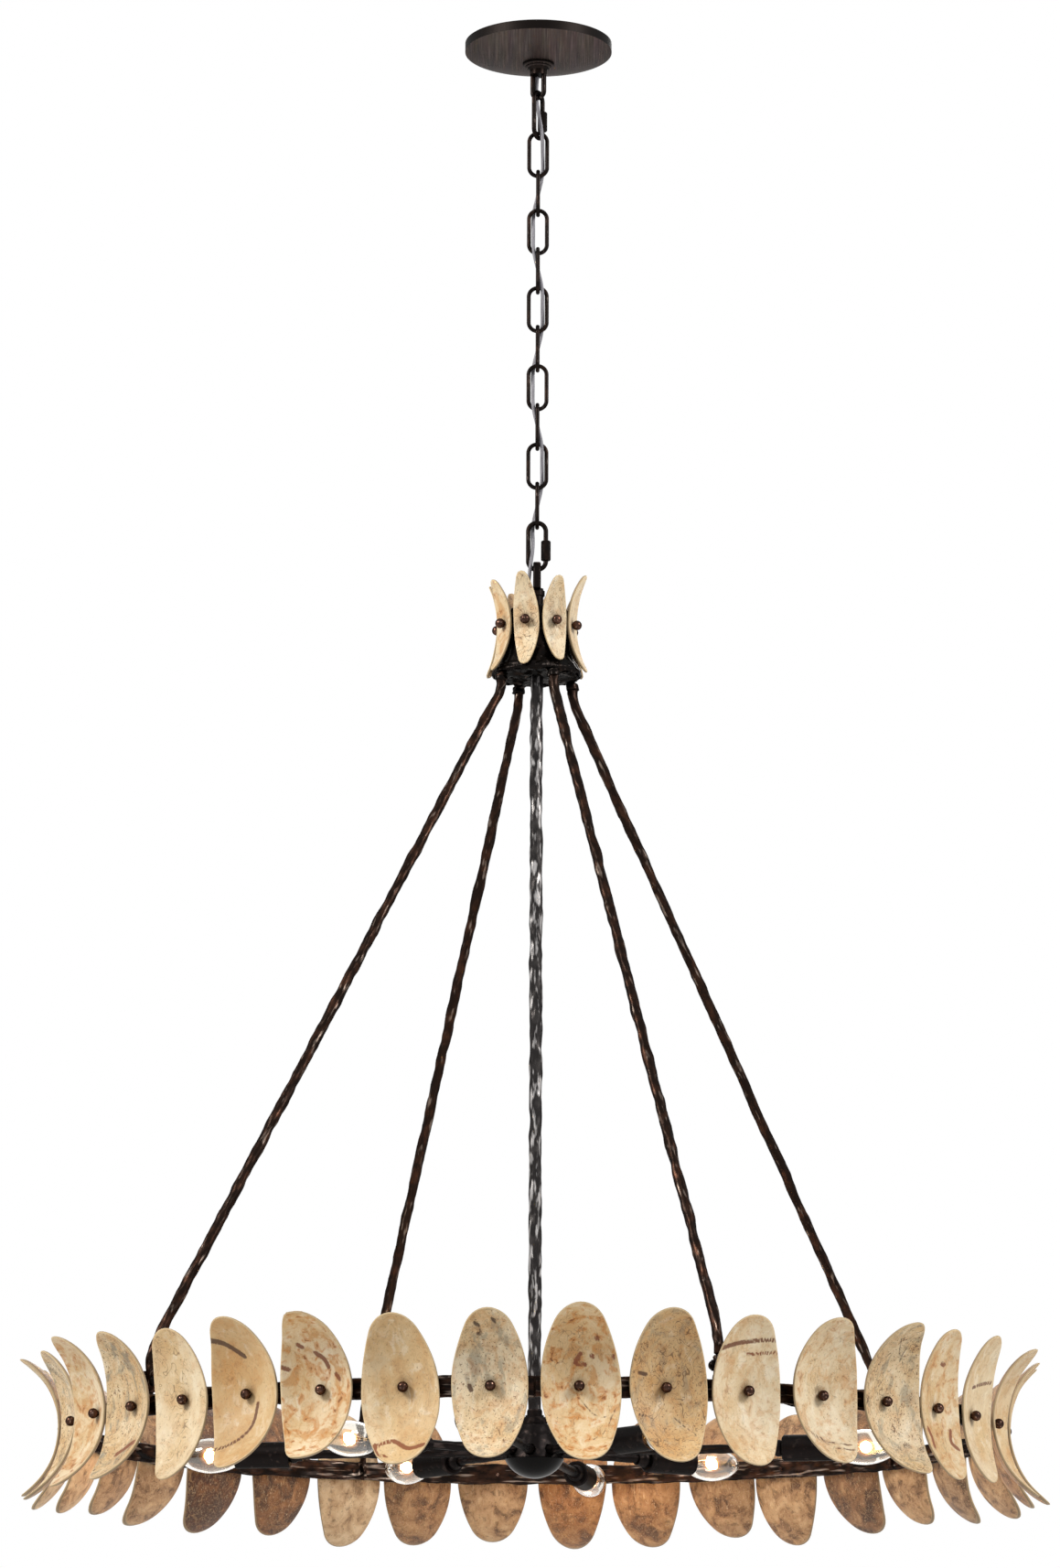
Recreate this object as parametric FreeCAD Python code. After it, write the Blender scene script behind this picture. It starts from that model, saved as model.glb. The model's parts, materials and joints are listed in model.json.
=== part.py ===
import FreeCAD, Part
import math
import os

# Ring chandelier: a canopy and a link chain carry a hub of small shell petals, from which
# four hammered rods and a centre stem run down to a steel hoop hung with coconut shell discs
# and to a cluster of eight lamps. Millimetres, +Z up, the front is -Y. The origin is on the
# ceiling, midway between the two holes that screw the crossbar to the ceiling box.
os.makedirs("parts", exist_ok=True)

Vector = FreeCAD.Vector
ORIGIN = Vector(0, 0, 0)
ALONG_X = Vector(1, 0, 0)
ALONG_Y = Vector(0, 1, 0)
ALONG_Z = Vector(0, 0, 1)

# Clearances and the overrun of every cut
running_fit = 0.05
joint_clearance = 0.3
seat_gap = 0.15
cut_overrun = 2.0

# Ceiling hardware
crossbar_width = 17.0
crossbar_thickness = 2.0
box_hole_spacing = 88.9
box_hole_radius = 2.3
box_hole_end_margin = 8.55
nipple_radius = 4.9
nipple_bore_radius = 3.3
nipple_start = 0.5
nipple_drop = 24.0
locknut_across = 14.3
locknut_thickness = 3.0
nut_bevel = 0.7

# Canopy, its ring collar and the loop that is screwed on the nipple
canopy_radius = 76.2
canopy_rim_height = 9.5
canopy_dome_rise = 12.5
canopy_wall = 1.2
canopy_hole_radius = 13.0
collar_radius = 16.25
collar_height = 3.2
collar_step_radius = 13.4
collar_step_height = 1.9
loop_shank_radius = 11.0
loop_shank_top = 12.0
loop_shoulder_drop = 5.6
loop_neck_radius = 8.8
loop_neck_drop = 34.4
loop_bottom_drop = 61.1
loop_wire = 5.3
loop_spacing = 12.9
loop_turn = -29.0
wire_chamber_radius = 4.3
wire_chamber_depth = 5.5
wireway_clearance = 0.45

# Quick links, one at each end of the chain
quick_length = 54.0
quick_spacing = 17.9
quick_wire = 4.8
quick_gap = 7.0
quick_gap_drop = 10.0
quick_nut_length = 20.5
quick_nut_across = 8.6
quick_nut_drop = 4.75
quick_turn = 61.0

# Chain
link_count = 10
link_length = 50.4
link_spacing = 18.5
link_wire = 4.2

# Forged eye on top of the hub
eye_bar_width = 8.0
eye_thickness = 5.0
eye_outer_width = 26.0
eye_height = 31.0
eye_bevel = 2.2
eye_seat_gap = 0.75
eye_collar_radius = 8.0
eye_collar_height = 5.0
eye_post_radius = 6.6
eye_post_height = 15.1
eye_nut_across = 17.0
eye_nut_height = 5.0

# Hub casting
drum_radius = 34.4
drum_wall = 3.2
drum_edge_radius = 4.0
hub_height = 71.2
hub_skirt_radius = 46.5
hub_flare_height = 32.0
hub_flare_bow = 3.1
hub_rim_height = 6.0
hub_skirt_wall = 3.4
hub_base_thickness = 9.5
base_screw_count = 3
base_screw_circle_radius = 36.5
base_screw_radius = 2.0
base_screw_length = 18.0
base_screw_head_radius = 3.8
base_screw_head_height = 2.2
base_screw_turn = 50.0
rod_lug_radius = 6.75
rod_lug_drop = 8.0
rod_lug_bite = 1.2

# Coconut shell discs and petals; the curve is the radius of a piece's back, and an end share
# is how round the ends are
disc_curve = 77.0
disc_end_share = 0.7
petal_curve = 87.0
petal_end_share = 0.45
shell_thickness = 3.0
petal_count = 8
petal_length = 95.0
petal_width = 27.0
petal_drop = 18.2
petal_turn = 6.0

# Studs and ball nuts
ball_radius = 5.0
ball_flat = 0.2
stud_radius = 2.0
stud_hole_clearance = 0.2

# Centre stem
stem_radius = 6.35
stem_bore_radius = 4.5
stem_inlet_height = 3.0

# Hammered rods from the hub to the hoop
rod_radius = 4.75
rod_circle_radius = 44.5
rod_socket_depth = 8.0
rod_knee_drop = 10.0
rod_knee_bend = 30.0
rod_foot_bend = 60.0
rod_foot_knee_height = 53.0
rod_foot_height = 14.0
rod_azimuths = (22.3, 124.6, 204.2, 305.5)

# Hoop, with its upright lugs for the rods
ring_drop = 837.2
ring_radius = 457.0
ring_thickness = 6.0
ring_height = 20.0
lug_thickness = 4.4
lug_depth = 10.0
lug_top = 34.0
lug_bottom = 8.0
foot_screw_height = 24.0
foot_screw_radius = 2.5
foot_screw_head_radius = 4.6
foot_screw_head_height = 3.0
foot_nut_across = 9.0
foot_nut_height = 5.6

# Shell discs on the hoop
disc_count = 36
disc_length = 139.0
disc_width = 71.0

# Lamp cluster
lamp_drop = 17.0
cap_collar_radius = 7.6
cap_collar_height = 6.0
cap_flange_radius = 12.6
cap_flange_height = 8.5
bell_top_radius = 14.3
bell_top_height = 10.0
bell_shoulder_radius = 23.0
bell_shoulder_drop = 8.0
bell_radius = 29.4
bell_bottom_drop = 25.0
bell_wall = 2.6
bowl_bottom_drop = 43.6
bowl_wall = 2.0
bowl_lip_height = 1.8
bowl_lip_wall = 1.8

arm_radius = 4.75
arm_bore_radius = 2.6
arm_start = 16.0
long_arm_reach = 239.0
short_arm_reach = 131.0
long_arm_turn = -10.0
short_arm_turn = 36.0
arm_repeat = 4

coupling_neck_radius = 6.4
coupling_knob_radius = 8.3
coupling_end_radius = 6.9
coupling_neck_length = 5.0
coupling_knob_length = 8.0
coupling_grip = 3.0
coupling_nose_radius = 4.0
coupling_nose_length = 5.0

cup_radius = 13.0
cup_wall = 1.1
cup_length = 55.0
cup_bevel = 1.6
socket_radius = 10.4
socket_length = 33.0
socket_step_radius = 8.8
socket_step_length = 9.0

# Bulb, measured outward from the mouth of its cup
bulb_base_radius = 5.95
bulb_base_length = 22.0
bulb_base_start = 43.0
bulb_thread_count = 5
bulb_thread_depth = 0.5
bulb_contact_radius = 2.6
bulb_contact_height = 1.8
bulb_collar_radius = 6.3
bulb_collar_start = 23.5
bulb_neck_radius = 6.1
bulb_throat_radius = 7.8
bulb_throat_start = 12.0
bulb_mouth_radius = 11.4
bulb_shoulder_radius = 15.4
bulb_shoulder_reach = 11.0
bulb_belly_radius = 17.4
bulb_belly_reach = 24.5
bulb_brow_radius = 14.2
bulb_brow_reach = 43.0
bulb_nose_radius = 7.0
bulb_nose_reach = 56.2
bulb_tip_reach = 60.0
bulb_wall = 0.8

# Cord, woven round the chain a quarter turn a link
cord_radius = 1.9
cord_inside = 4.7
cord_corner = 5.0
cord_bend_share = 0.45

# Every disc by its place in the circle from the front towards the right. No two shells are
# alike: each has its own curve, length and width, as shares of the usual ones. Its top leans
# outward, it is rolled on its screw, and it is turned sideways, by angles in degrees.
disc_curve_shares = (1.01, 1.07, 1.29, 1.06, 0.98, 1.45, 1.45, 1.05, 1.03, 1.04, 1.11, 1.02,
                     1.05, 1.1, 1.3, 0.99, 1.09, 1.01, 1.03, 1.07, 1.22, 1.17, 1.06, 0.97, 1,
                     1.1, 1.1, 0.95, 1.11, 1.03, 1.03, 1.36, 1.03, 0.9, 1.13, 1.02)
disc_length_shares = (1.02, 1.01, 1, 0.96, 1, 1.02, 1, 1.02, 1, 1, 1, 1, 0.96, 0.99, 0.99,
                      0.94, 0.99, 1.06, 0.95, 1.01, 1.01, 0.98, 1, 1, 0.95, 1, 1, 0.96, 1.05,
                      1.02, 1.01, 1.03, 1.01, 0.96, 1.01, 0.98)
disc_width_shares = (1.04, 1.03, 1, 1.04, 1.03, 0.9, 0.95, 0.96, 1, 1, 1.02, 1, 1.03, 1.06,
                     1.09, 1.06, 1.06, 1.04, 1.06, 1.03, 1.01, 1.02, 1, 0.99, 0.99, 1.01, 1, 1,
                     1, 0.97, 1.04, 1, 1.09, 1.02, 1.04, 0.99)
disc_leans = (0, 0, -1, 4, 2, 2, 4, 0, -4, 2, -3, 1, 2, -2, -7, -2, -7, 1, -2, -4, -6, -1, -1,
              2, 2, 0, -3, 2, -6, 1, -2, -4, -2, 0, -5, -1)
disc_rolls = (-3, -3, 1, -5, -5, -6, -3, 2, 0, 0, 8, -4, 9, 9, -6, 6, -2, -2, 1, 3, 4, 0, -3,
              -8, -8, -8, -3, 1, -3, 1, -1, -8, -5, -2, -5, 0)
disc_side_turns = (-1, -1, 2, 0, -2, -2, -2, 0, 0, 0, 4, 0, -3, -1, -2, 0, -2, 0, -3, -3, 0, 1,
                   -4, -3, 2, 2, 1, -1, 0, 3, 0, 0, -2, 2, 1, 0)
petal_leans = (1, 1, -1, 1, 0, -1, -2, 0)
petal_rolls = (-1, -4, 2, -1, 3, -2, -4, -2)
petal_length_shares = (0.93, 1.05, 0.99, 1.02, 0.98, 1.03, 1.02, 1.02)

# Heights, worked out down from the ceiling
canopy_low = -(canopy_rim_height + canopy_dome_rise)
loop_bottom = -loop_bottom_drop
top_quick_top = loop_bottom + loop_wire + joint_clearance + quick_wire
top_quick_centre = top_quick_top - quick_length / 2
top_quick_bottom = top_quick_top - quick_length
link_pitch = link_length - 2 * link_wire - joint_clearance
first_link_top = top_quick_bottom + quick_wire + joint_clearance + link_wire
first_link_centre = first_link_top - link_length / 2
last_link_bottom = first_link_top - (link_count - 1) * link_pitch - link_length
low_quick_top = last_link_bottom + link_wire + joint_clearance + quick_wire
low_quick_centre = low_quick_top - quick_length / 2
low_quick_bottom = low_quick_top - quick_length
eye_top = low_quick_bottom + quick_wire + eye_seat_gap + eye_thickness
eye_bottom = eye_top - eye_height
hub_top = eye_bottom - eye_collar_height - eye_post_height
hub_bottom = hub_top - hub_height
petal_screw = hub_top - petal_drop
lug_bottom_face = hub_bottom - rod_lug_drop
rod_knee = lug_bottom_face - rod_knee_drop
ring_level = hub_top - ring_drop
lamp_level = ring_level - lamp_drop
disc_back = ring_radius + seat_gap
petal_back = drum_radius + seat_gap


def put(shape, name):
    shape.exportStep("parts/" + name + ".step")


def rod_along_z(radius, low, high, x=0, y=0):
    return Part.makeCylinder(radius, high - low, Vector(x, y, low))


def hexagon(across, low, high, x=0, y=0):
    corner = across / math.sqrt(3)
    points = []
    for step in range(7):
        turn = math.radians(60 * step)
        points.append(Vector(x + corner * math.cos(turn), y + corner * math.sin(turn), low))
    return Part.Face(Part.makePolygon(points)).extrude(Vector(0, 0, high - low))


def bevelled_nut(across, low, high, bevel, x=0, y=0):
    # A hexagon whose corners are turned down at both ends
    corner = across / math.sqrt(3)
    turned = lathe([(0, low), (corner - bevel, low), (corner, low + bevel),
                    (corner, high - bevel), (corner - bevel, high), (0, high)])
    turned.translate(Vector(x, y, 0))
    return hexagon(across, low, high, x, y).common(turned)


def lathe(outline):
    # Turned about Z from points (radius, height); a pair of points is an arc's middle and
    # end, and a list of points is a smooth curve that meets the axis squarely
    edges = []
    here = outline[0]
    for item in outline[1:] + [outline[0]]:
        start = Vector(here[0], 0, here[1])
        if isinstance(item, list):
            points = [start] + [Vector(radius, 0, height) for radius, height in item]
            on_axis = [point.x == 0 for point in points]
            curve = Part.BSplineCurve()
            heading = ALONG_X if on_axis[0] else -ALONG_X
            curve.interpolate(Points=points, Tangents=[heading] * len(points), TangentFlags=on_axis)
            edges.append(curve.toShape())
            end = item[-1]
        elif isinstance(item[0], tuple):
            middle, end = item
            edges.append(Part.Arc(start, Vector(middle[0], 0, middle[1]),
                                  Vector(end[0], 0, end[1])).toShape())
        else:
            end = item
            if end != here:
                edges.append(Part.LineSegment(start, Vector(end[0], 0, end[1])).toShape())
        here = end
    return Part.Face(Part.Wire(edges)).revolve(ORIGIN, ALONG_Z, 360)


def spin(shape, azimuth):
    # Turned from the front about the chandelier's axis, towards +X
    turned = shape.copy()
    turned.rotate(ORIGIN, ALONG_Z, azimuth)
    return turned


def outward(shape, height, azimuth):
    # A piece made along +Z, laid to point out from the axis at the given height
    laid = shape.copy()
    laid.rotate(ORIGIN, ALONG_X, 90)
    laid.translate(Vector(0, 0, height))
    return spin(laid, azimuth)


def bent_path(points, bends):
    # Straight runs joined by tangent arcs, one bend radius for each inner point
    edges = []
    start = points[0]
    for before, corner, after, bend in zip(points, points[1:], points[2:], bends):
        towards = (before - corner).normalize()
        away = (after - corner).normalize()
        half_turn = (math.pi - towards.getAngle(away)) / 2
        cut_back = bend * math.tan(half_turn)
        first = corner + towards * cut_back
        last = corner + away * cut_back
        inward = (towards + away).normalize()
        middle = corner + inward * (bend / math.cos(half_turn) - bend)
        edges.append(Part.LineSegment(start, first).toShape())
        edges.append(Part.Arc(first, middle, last).toShape())
        start = last
    edges.append(Part.LineSegment(start, points[-1]).toShape())
    return Part.Wire(edges)


def tube(path, radius):
    start = path.Edges[0]
    heading = start.tangentAt(start.FirstParameter)
    ring = Part.Wire(Part.makeCircle(radius, start.valueAt(start.FirstParameter), heading))
    return path.makePipeShell([ring], True, False)


def oval(length, width, end_share):
    # Four tangent arcs in the XZ plane, about the origin
    half_length = length / 2
    half_width = width / 2
    end_radius = end_share * half_width
    end_centre = half_length - end_radius
    side_radius = (half_width**2 + end_centre**2 - end_radius**2) / (2 * (half_width - end_radius))
    side_centre = half_width - side_radius
    reach = side_radius / (side_radius - end_radius)
    join_x = side_centre - side_centre * reach
    join_z = end_centre * reach
    edges = []
    for side in (1, -1):
        edges.append(Part.Arc(Vector(side * join_x, 0, -side * join_z),
                              Vector(side * half_width, 0, 0),
                              Vector(side * join_x, 0, side * join_z)).toShape())
        edges.append(Part.Arc(Vector(side * join_x, 0, side * join_z),
                              Vector(0, 0, side * half_length),
                              Vector(-side * join_x, 0, side * join_z)).toShape())
    return Part.Face(Part.Wire(edges))


def shell_piece(curve, length, width, end_share, back, level, lean, roll, side_turn):
    # A piece of round coconut shell whose hollow side faces away from the axis. It leans and
    # turns by sliding on its own sphere, so its back still meets the metal at the screw.
    blank = oval(length, width, end_share).extrude(Vector(0, -curve - cut_overrun, 0))
    blank.rotate(ORIGIN, ALONG_Y, roll)
    blank.translate(Vector(0, curve + cut_overrun, 0))
    piece = blank.common(Part.makeSphere(curve))
    piece = piece.cut(Part.makeSphere(curve - shell_thickness))
    piece.rotate(ORIGIN, ALONG_Z, side_turn)
    piece.rotate(ORIGIN, ALONG_X, lean)
    piece.translate(Vector(0, -back - curve, level))
    hole = Part.makeCylinder(stud_radius + stud_hole_clearance, curve,
                             Vector(0, cut_overrun - back, level), -ALONG_Y)
    return piece.cut(hole)


def ball_nut(back, wall, level):
    # Ball nut on its stud; the stud's inner end is flush with the metal's inner face
    seat = back + shell_thickness + seat_gap
    ball = Part.makeSphere(ball_radius, Vector(0, 0, seat + ball_radius - ball_flat))
    keep = Part.makeBox(4 * ball_radius, 4 * ball_radius, 4 * ball_radius,
                        Vector(-2 * ball_radius, -2 * ball_radius, seat))
    stud = rod_along_z(stud_radius, back - seat_gap - wall, seat + ball_radius)
    return outward(ball.common(keep).fuse(stud), level, 0)


def wire_loop(length, spacing, wire, centre):
    # A closed link in the XZ plane
    half_straight = (length - wire - spacing) / 2
    half = spacing / 2
    corners = [Vector(-half, 0, half_straight), Vector(half, 0, half_straight),
               Vector(half, 0, -half_straight), Vector(-half, 0, -half_straight)]
    top = Part.Arc(corners[0], Vector(0, 0, half_straight + half), corners[1])
    right = Part.LineSegment(corners[1], corners[2])
    low = Part.Arc(corners[2], Vector(0, 0, -half_straight - half), corners[3])
    left = Part.LineSegment(corners[3], corners[0])
    path = Part.Wire([left.toShape(), top.toShape(), right.toShape(), low.toShape()])
    shape = tube(path, wire / 2)
    shape.translate(Vector(0, 0, centre))
    return shape


# Ceiling hardware


def ceiling_crossbar():
    length = box_hole_spacing + 2 * box_hole_end_margin
    bar = Part.makeBox(length, crossbar_width, crossbar_thickness,
                       Vector(-length / 2, -crossbar_width / 2, -crossbar_thickness))
    corners = [edge for edge in bar.Edges if abs(edge.tangentAt(edge.FirstParameter).z) > 0.9]
    bar = bar.makeFillet(crossbar_width / 3, corners)
    low = -crossbar_thickness - cut_overrun
    bar = bar.cut(rod_along_z(nipple_radius + running_fit, low, cut_overrun))
    for side in (-1, 1):
        bar = bar.cut(rod_along_z(box_hole_radius, low, cut_overrun, side * box_hole_spacing / 2))
    return bar


def canopy_nipple():
    return rod_along_z(nipple_radius, -nipple_drop, -nipple_start).cut(
        rod_along_z(nipple_bore_radius, -nipple_drop - cut_overrun, cut_overrun - nipple_start))


def nipple_locknut():
    high = -crossbar_thickness
    nut = bevelled_nut(locknut_across, high - locknut_thickness, high, nut_bevel)
    return nut.cut(rod_along_z(nipple_radius + running_fit,
                               high - locknut_thickness - cut_overrun, high + cut_overrun))


# Canopy


def canopy_dome(radius, reach, low):
    # Height of a round dome at a radius from its middle; at its reach it has its full rise
    sphere = (reach**2 + canopy_dome_rise**2) / (2 * canopy_dome_rise)
    return low + sphere - math.sqrt(sphere**2 - radius**2)


def canopy_plate():
    inner = canopy_radius - canopy_wall
    low = canopy_low
    inner_low = low + canopy_wall
    half = (canopy_radius + canopy_hole_radius) / 2
    inner_half = (inner + canopy_hole_radius) / 2
    return lathe([
        (canopy_radius, 0),
        (canopy_radius, canopy_dome(canopy_radius, canopy_radius, low)),
        ((half, canopy_dome(half, canopy_radius, low)),
         (canopy_hole_radius, canopy_dome(canopy_hole_radius, canopy_radius, low))),
        (canopy_hole_radius, canopy_dome(canopy_hole_radius, inner, inner_low)),
        ((inner_half, canopy_dome(inner_half, inner, inner_low)),
         (inner, canopy_dome(inner, inner, inner_low))),
        (inner, 0)])


collar_top = canopy_dome(canopy_hole_radius, canopy_radius, canopy_low)
collar_bottom = collar_top - collar_height - collar_step_height


def canopy_collar():
    bore = loop_shank_radius + joint_clearance
    step = collar_top - collar_height
    edge = collar_step_height / 2
    return lathe([
        (bore, collar_top), (collar_radius, collar_top),
        (collar_radius, step + edge), (collar_radius - edge, step),
        (collar_step_radius, step),
        (collar_step_radius, collar_bottom + edge), (collar_step_radius - edge, collar_bottom),
        (bore, collar_bottom)])


def canopy_loop():
    shank_low = collar_bottom - loop_shoulder_drop + collar_height
    shank = rod_along_z(loop_shank_radius, collar_bottom, -loop_shank_top)
    shoulder = lathe([(0, collar_bottom), (loop_shank_radius, collar_bottom),
                      (loop_neck_radius, shank_low), (0, shank_low)])
    neck = rod_along_z(loop_neck_radius, -loop_neck_drop, shank_low)
    half = loop_spacing / 2
    bow = loop_bottom + loop_wire / 2 + half
    leg_top = -loop_neck_drop + loop_wire
    path = Part.Wire([
        Part.LineSegment(Vector(-half, 0, leg_top), Vector(-half, 0, bow)).toShape(),
        Part.Arc(Vector(-half, 0, bow), Vector(0, 0, bow - half), Vector(half, 0, bow)).toShape(),
        Part.LineSegment(Vector(half, 0, bow), Vector(half, 0, leg_top)).toShape()])
    loop = spin(tube(path, loop_wire / 2), loop_turn)
    body = shank.fuse([shoulder, neck, loop])
    body = body.cut(rod_along_z(nipple_radius + running_fit, -nipple_drop,
                                cut_overrun - loop_shank_top))
    body = body.cut(rod_along_z(wire_chamber_radius, -nipple_drop - wire_chamber_depth,
                                cut_overrun - nipple_drop))
    wireway = tube(cord_path(cord_points()[:4]), cord_radius + wireway_clearance)
    return body.cut(wireway)


# Chain


def quick_link(centre, turn):
    half = quick_spacing / 2
    half_straight = (quick_length - quick_wire - quick_spacing) / 2
    gap_middle = -quick_gap_drop
    gap_high = gap_middle + quick_gap / 2
    gap_low = gap_middle - quick_gap / 2
    path = Part.Wire([
        Part.LineSegment(Vector(half, 0, gap_high), Vector(half, 0, half_straight)).toShape(),
        Part.Arc(Vector(half, 0, half_straight), Vector(0, 0, half_straight + half),
                 Vector(-half, 0, half_straight)).toShape(),
        Part.LineSegment(Vector(-half, 0, half_straight), Vector(-half, 0, -half_straight)).toShape(),
        Part.Arc(Vector(-half, 0, -half_straight), Vector(0, 0, -half_straight - half),
                 Vector(half, 0, -half_straight)).toShape(),
        Part.LineSegment(Vector(half, 0, -half_straight), Vector(half, 0, gap_low)).toShape()])
    link = tube(path, quick_wire / 2)
    link.translate(Vector(0, 0, centre))
    return spin(link, turn)


def quick_link_nut(centre, turn):
    half = quick_spacing / 2
    middle = centre - quick_nut_drop
    low = middle - quick_nut_length / 2
    high = middle + quick_nut_length / 2
    nut = bevelled_nut(quick_nut_across, low, high, nut_bevel, half)
    bore = rod_along_z(quick_wire / 2 + running_fit, low - cut_overrun, high + cut_overrun, half)
    return spin(nut.cut(bore), turn)


def chain_link(number):
    link = wire_loop(link_length, link_spacing, link_wire, first_link_centre - number * link_pitch)
    return spin(link, 90 * (number % 2))


# Hub


def hub_eye():
    half = eye_outer_width / 2
    inner = half - eye_thickness
    crown = eye_top - half
    sill = eye_bottom + eye_thickness

    def arch(reach, foot):
        return Part.Face(Part.Wire([
            Part.LineSegment(Vector(0, -reach, foot), Vector(0, -reach, crown)).toShape(),
            Part.Arc(Vector(0, -reach, crown), Vector(0, 0, crown + reach),
                     Vector(0, reach, crown)).toShape(),
            Part.LineSegment(Vector(0, reach, crown), Vector(0, reach, foot)).toShape(),
            Part.LineSegment(Vector(0, reach, foot), Vector(0, -reach, foot)).toShape()]))

    loop = arch(half, eye_bottom).cut(arch(inner, sill)).extrude(Vector(eye_bar_width, 0, 0))
    loop.translate(Vector(-eye_bar_width / 2, 0, 0))
    loop = loop.makeFillet(eye_bevel, loop.Edges)
    collar_low = eye_bottom - eye_collar_height
    nut_high = hub_top - drum_wall
    collar = rod_along_z(eye_collar_radius, collar_low, eye_bottom)
    post = rod_along_z(eye_post_radius, nut_high - 2 * eye_nut_height, eye_bottom + eye_thickness / 2)
    return loop.fuse([collar, post])


def hub_eye_nut():
    high = hub_top - drum_wall
    low = high - eye_nut_height
    nut = bevelled_nut(eye_nut_across, low, high, nut_bevel)
    return nut.cut(rod_along_z(eye_post_radius + running_fit, low - cut_overrun, high + cut_overrun))


def hub_casting():
    flare_top = hub_bottom + hub_rim_height + hub_flare_height
    rim_top = hub_bottom + hub_rim_height
    rim_edge = hub_rim_height / 3
    half_radius = (drum_radius + hub_skirt_radius) / 2 - hub_flare_bow
    half_level = (flare_top + rim_top) / 2
    inner = drum_radius - drum_wall
    round_middle = drum_edge_radius * (1 - math.sqrt(0.5))
    body = lathe([
        (0, hub_top), (drum_radius - drum_edge_radius, hub_top),
        ((drum_radius - round_middle, hub_top - round_middle),
         (drum_radius, hub_top - drum_edge_radius)),
        (drum_radius, flare_top),
        ((half_radius, half_level), (hub_skirt_radius, rim_top)),
        (hub_skirt_radius, hub_bottom + rim_edge), (hub_skirt_radius - rim_edge, hub_bottom),
        (0, hub_bottom)])
    body = body.cut(rod_along_z(inner, hub_bottom - cut_overrun, hub_top - drum_wall))
    body = body.cut(rod_along_z(hub_skirt_radius - hub_skirt_wall, hub_bottom - cut_overrun,
                                hub_bottom + hub_base_thickness))
    for azimuth in rod_azimuths:
        # Each rod's lug lies half outside the rim, which is cut round to take it
        notch = rod_along_z(rod_lug_radius + joint_clearance, hub_bottom - cut_overrun,
                            hub_bottom + rod_lug_bite + seat_gap, 0, -rod_circle_radius)
        body = body.cut(spin(notch, azimuth))
    body = body.cut(rod_along_z(eye_post_radius + running_fit, hub_top - drum_wall - cut_overrun,
                                hub_top + cut_overrun))
    for azimuth in base_screw_azimuths():
        low = hub_bottom + hub_base_thickness - cut_overrun
        hole = rod_along_z(base_screw_radius + running_fit, low,
                           hub_bottom + base_screw_length + seat_gap, 0, -base_screw_circle_radius)
        body = body.cut(spin(hole, azimuth))
    for number in range(petal_count):
        hole = rod_along_z(stud_radius + running_fit, inner - cut_overrun, drum_radius + cut_overrun)
        body = body.cut(outward(hole, petal_screw, petal_azimuth(number)))
    entry = cord_points()[-2]
    inlet = rod_along_z(cord_radius + wireway_clearance, hub_top - drum_wall - cut_overrun,
                        hub_top + cut_overrun, entry.x, entry.y)
    return body.cut(inlet)


def base_screw_azimuths():
    return [base_screw_turn + 360 / base_screw_count * number
            for number in range(base_screw_count)]


def hub_base():
    # Plate in the casting's mouth, with a lug for each rod and the hole for the stem
    high = hub_bottom + hub_base_thickness - seat_gap
    plate = rod_along_z(hub_skirt_radius - hub_skirt_wall - seat_gap, hub_bottom, high)
    for azimuth in rod_azimuths:
        lug = rod_along_z(rod_lug_radius, lug_bottom_face, hub_bottom + rod_lug_bite,
                          0, -rod_circle_radius)
        plate = plate.fuse(spin(lug, azimuth))
    for azimuth in rod_azimuths:
        socket = rod_along_z(rod_radius + running_fit, lug_bottom_face - cut_overrun,
                             lug_bottom_face + rod_socket_depth, 0, -rod_circle_radius)
        plate = plate.cut(spin(socket, azimuth))
    for azimuth in base_screw_azimuths():
        hole = rod_along_z(base_screw_radius + running_fit, hub_bottom - cut_overrun,
                           high + cut_overrun, 0, -base_screw_circle_radius)
        recess = rod_along_z(base_screw_head_radius + joint_clearance, hub_bottom - cut_overrun,
                             hub_bottom + base_screw_head_height, 0, -base_screw_circle_radius)
        plate = plate.cut([spin(hole, azimuth), spin(recess, azimuth)])
    return plate.cut(rod_along_z(stem_radius + running_fit, hub_bottom - cut_overrun,
                                 high + cut_overrun))


def hub_base_screws():
    shank = rod_along_z(base_screw_radius, hub_bottom, hub_bottom + base_screw_length,
                        0, -base_screw_circle_radius)
    head = rod_along_z(base_screw_head_radius, hub_bottom, hub_bottom + base_screw_head_height,
                       0, -base_screw_circle_radius)
    drive = hexagon(base_screw_radius * 2, hub_bottom - cut_overrun,
                    hub_bottom + base_screw_head_height / 2, 0, -base_screw_circle_radius)
    screw = shank.fuse(head).cut(drive)
    return Part.makeCompound([spin(screw, azimuth) for azimuth in base_screw_azimuths()])


def petal_azimuth(number):
    return 360 / petal_count * (number + 0.5) + petal_turn


def hub_petals():
    petals = []
    for number in range(petal_count):
        pick = number % len(petal_leans)
        petal = shell_piece(petal_curve, petal_length * petal_length_shares[pick], petal_width,
                            petal_end_share, petal_back, petal_screw, petal_leans[pick],
                            petal_rolls[pick], 0)
        petals.append(spin(petal, petal_azimuth(number)))
    return Part.makeCompound(petals)


def hub_petal_nuts():
    nut = ball_nut(petal_back, drum_wall, petal_screw)
    return Part.makeCompound([spin(nut, petal_azimuth(number)) for number in range(petal_count)])


# Stem and rods


def centre_stem():
    low = lamp_level + bell_top_height + lamp_drop - bell_wall - stem_inlet_height
    high = hub_bottom + hub_base_thickness + stem_inlet_height
    return rod_along_z(stem_radius, low, high).cut(
        rod_along_z(stem_bore_radius, low - cut_overrun, high + cut_overrun))


rod_foot_radius = ring_radius - ring_thickness - rod_radius - joint_clearance


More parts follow.
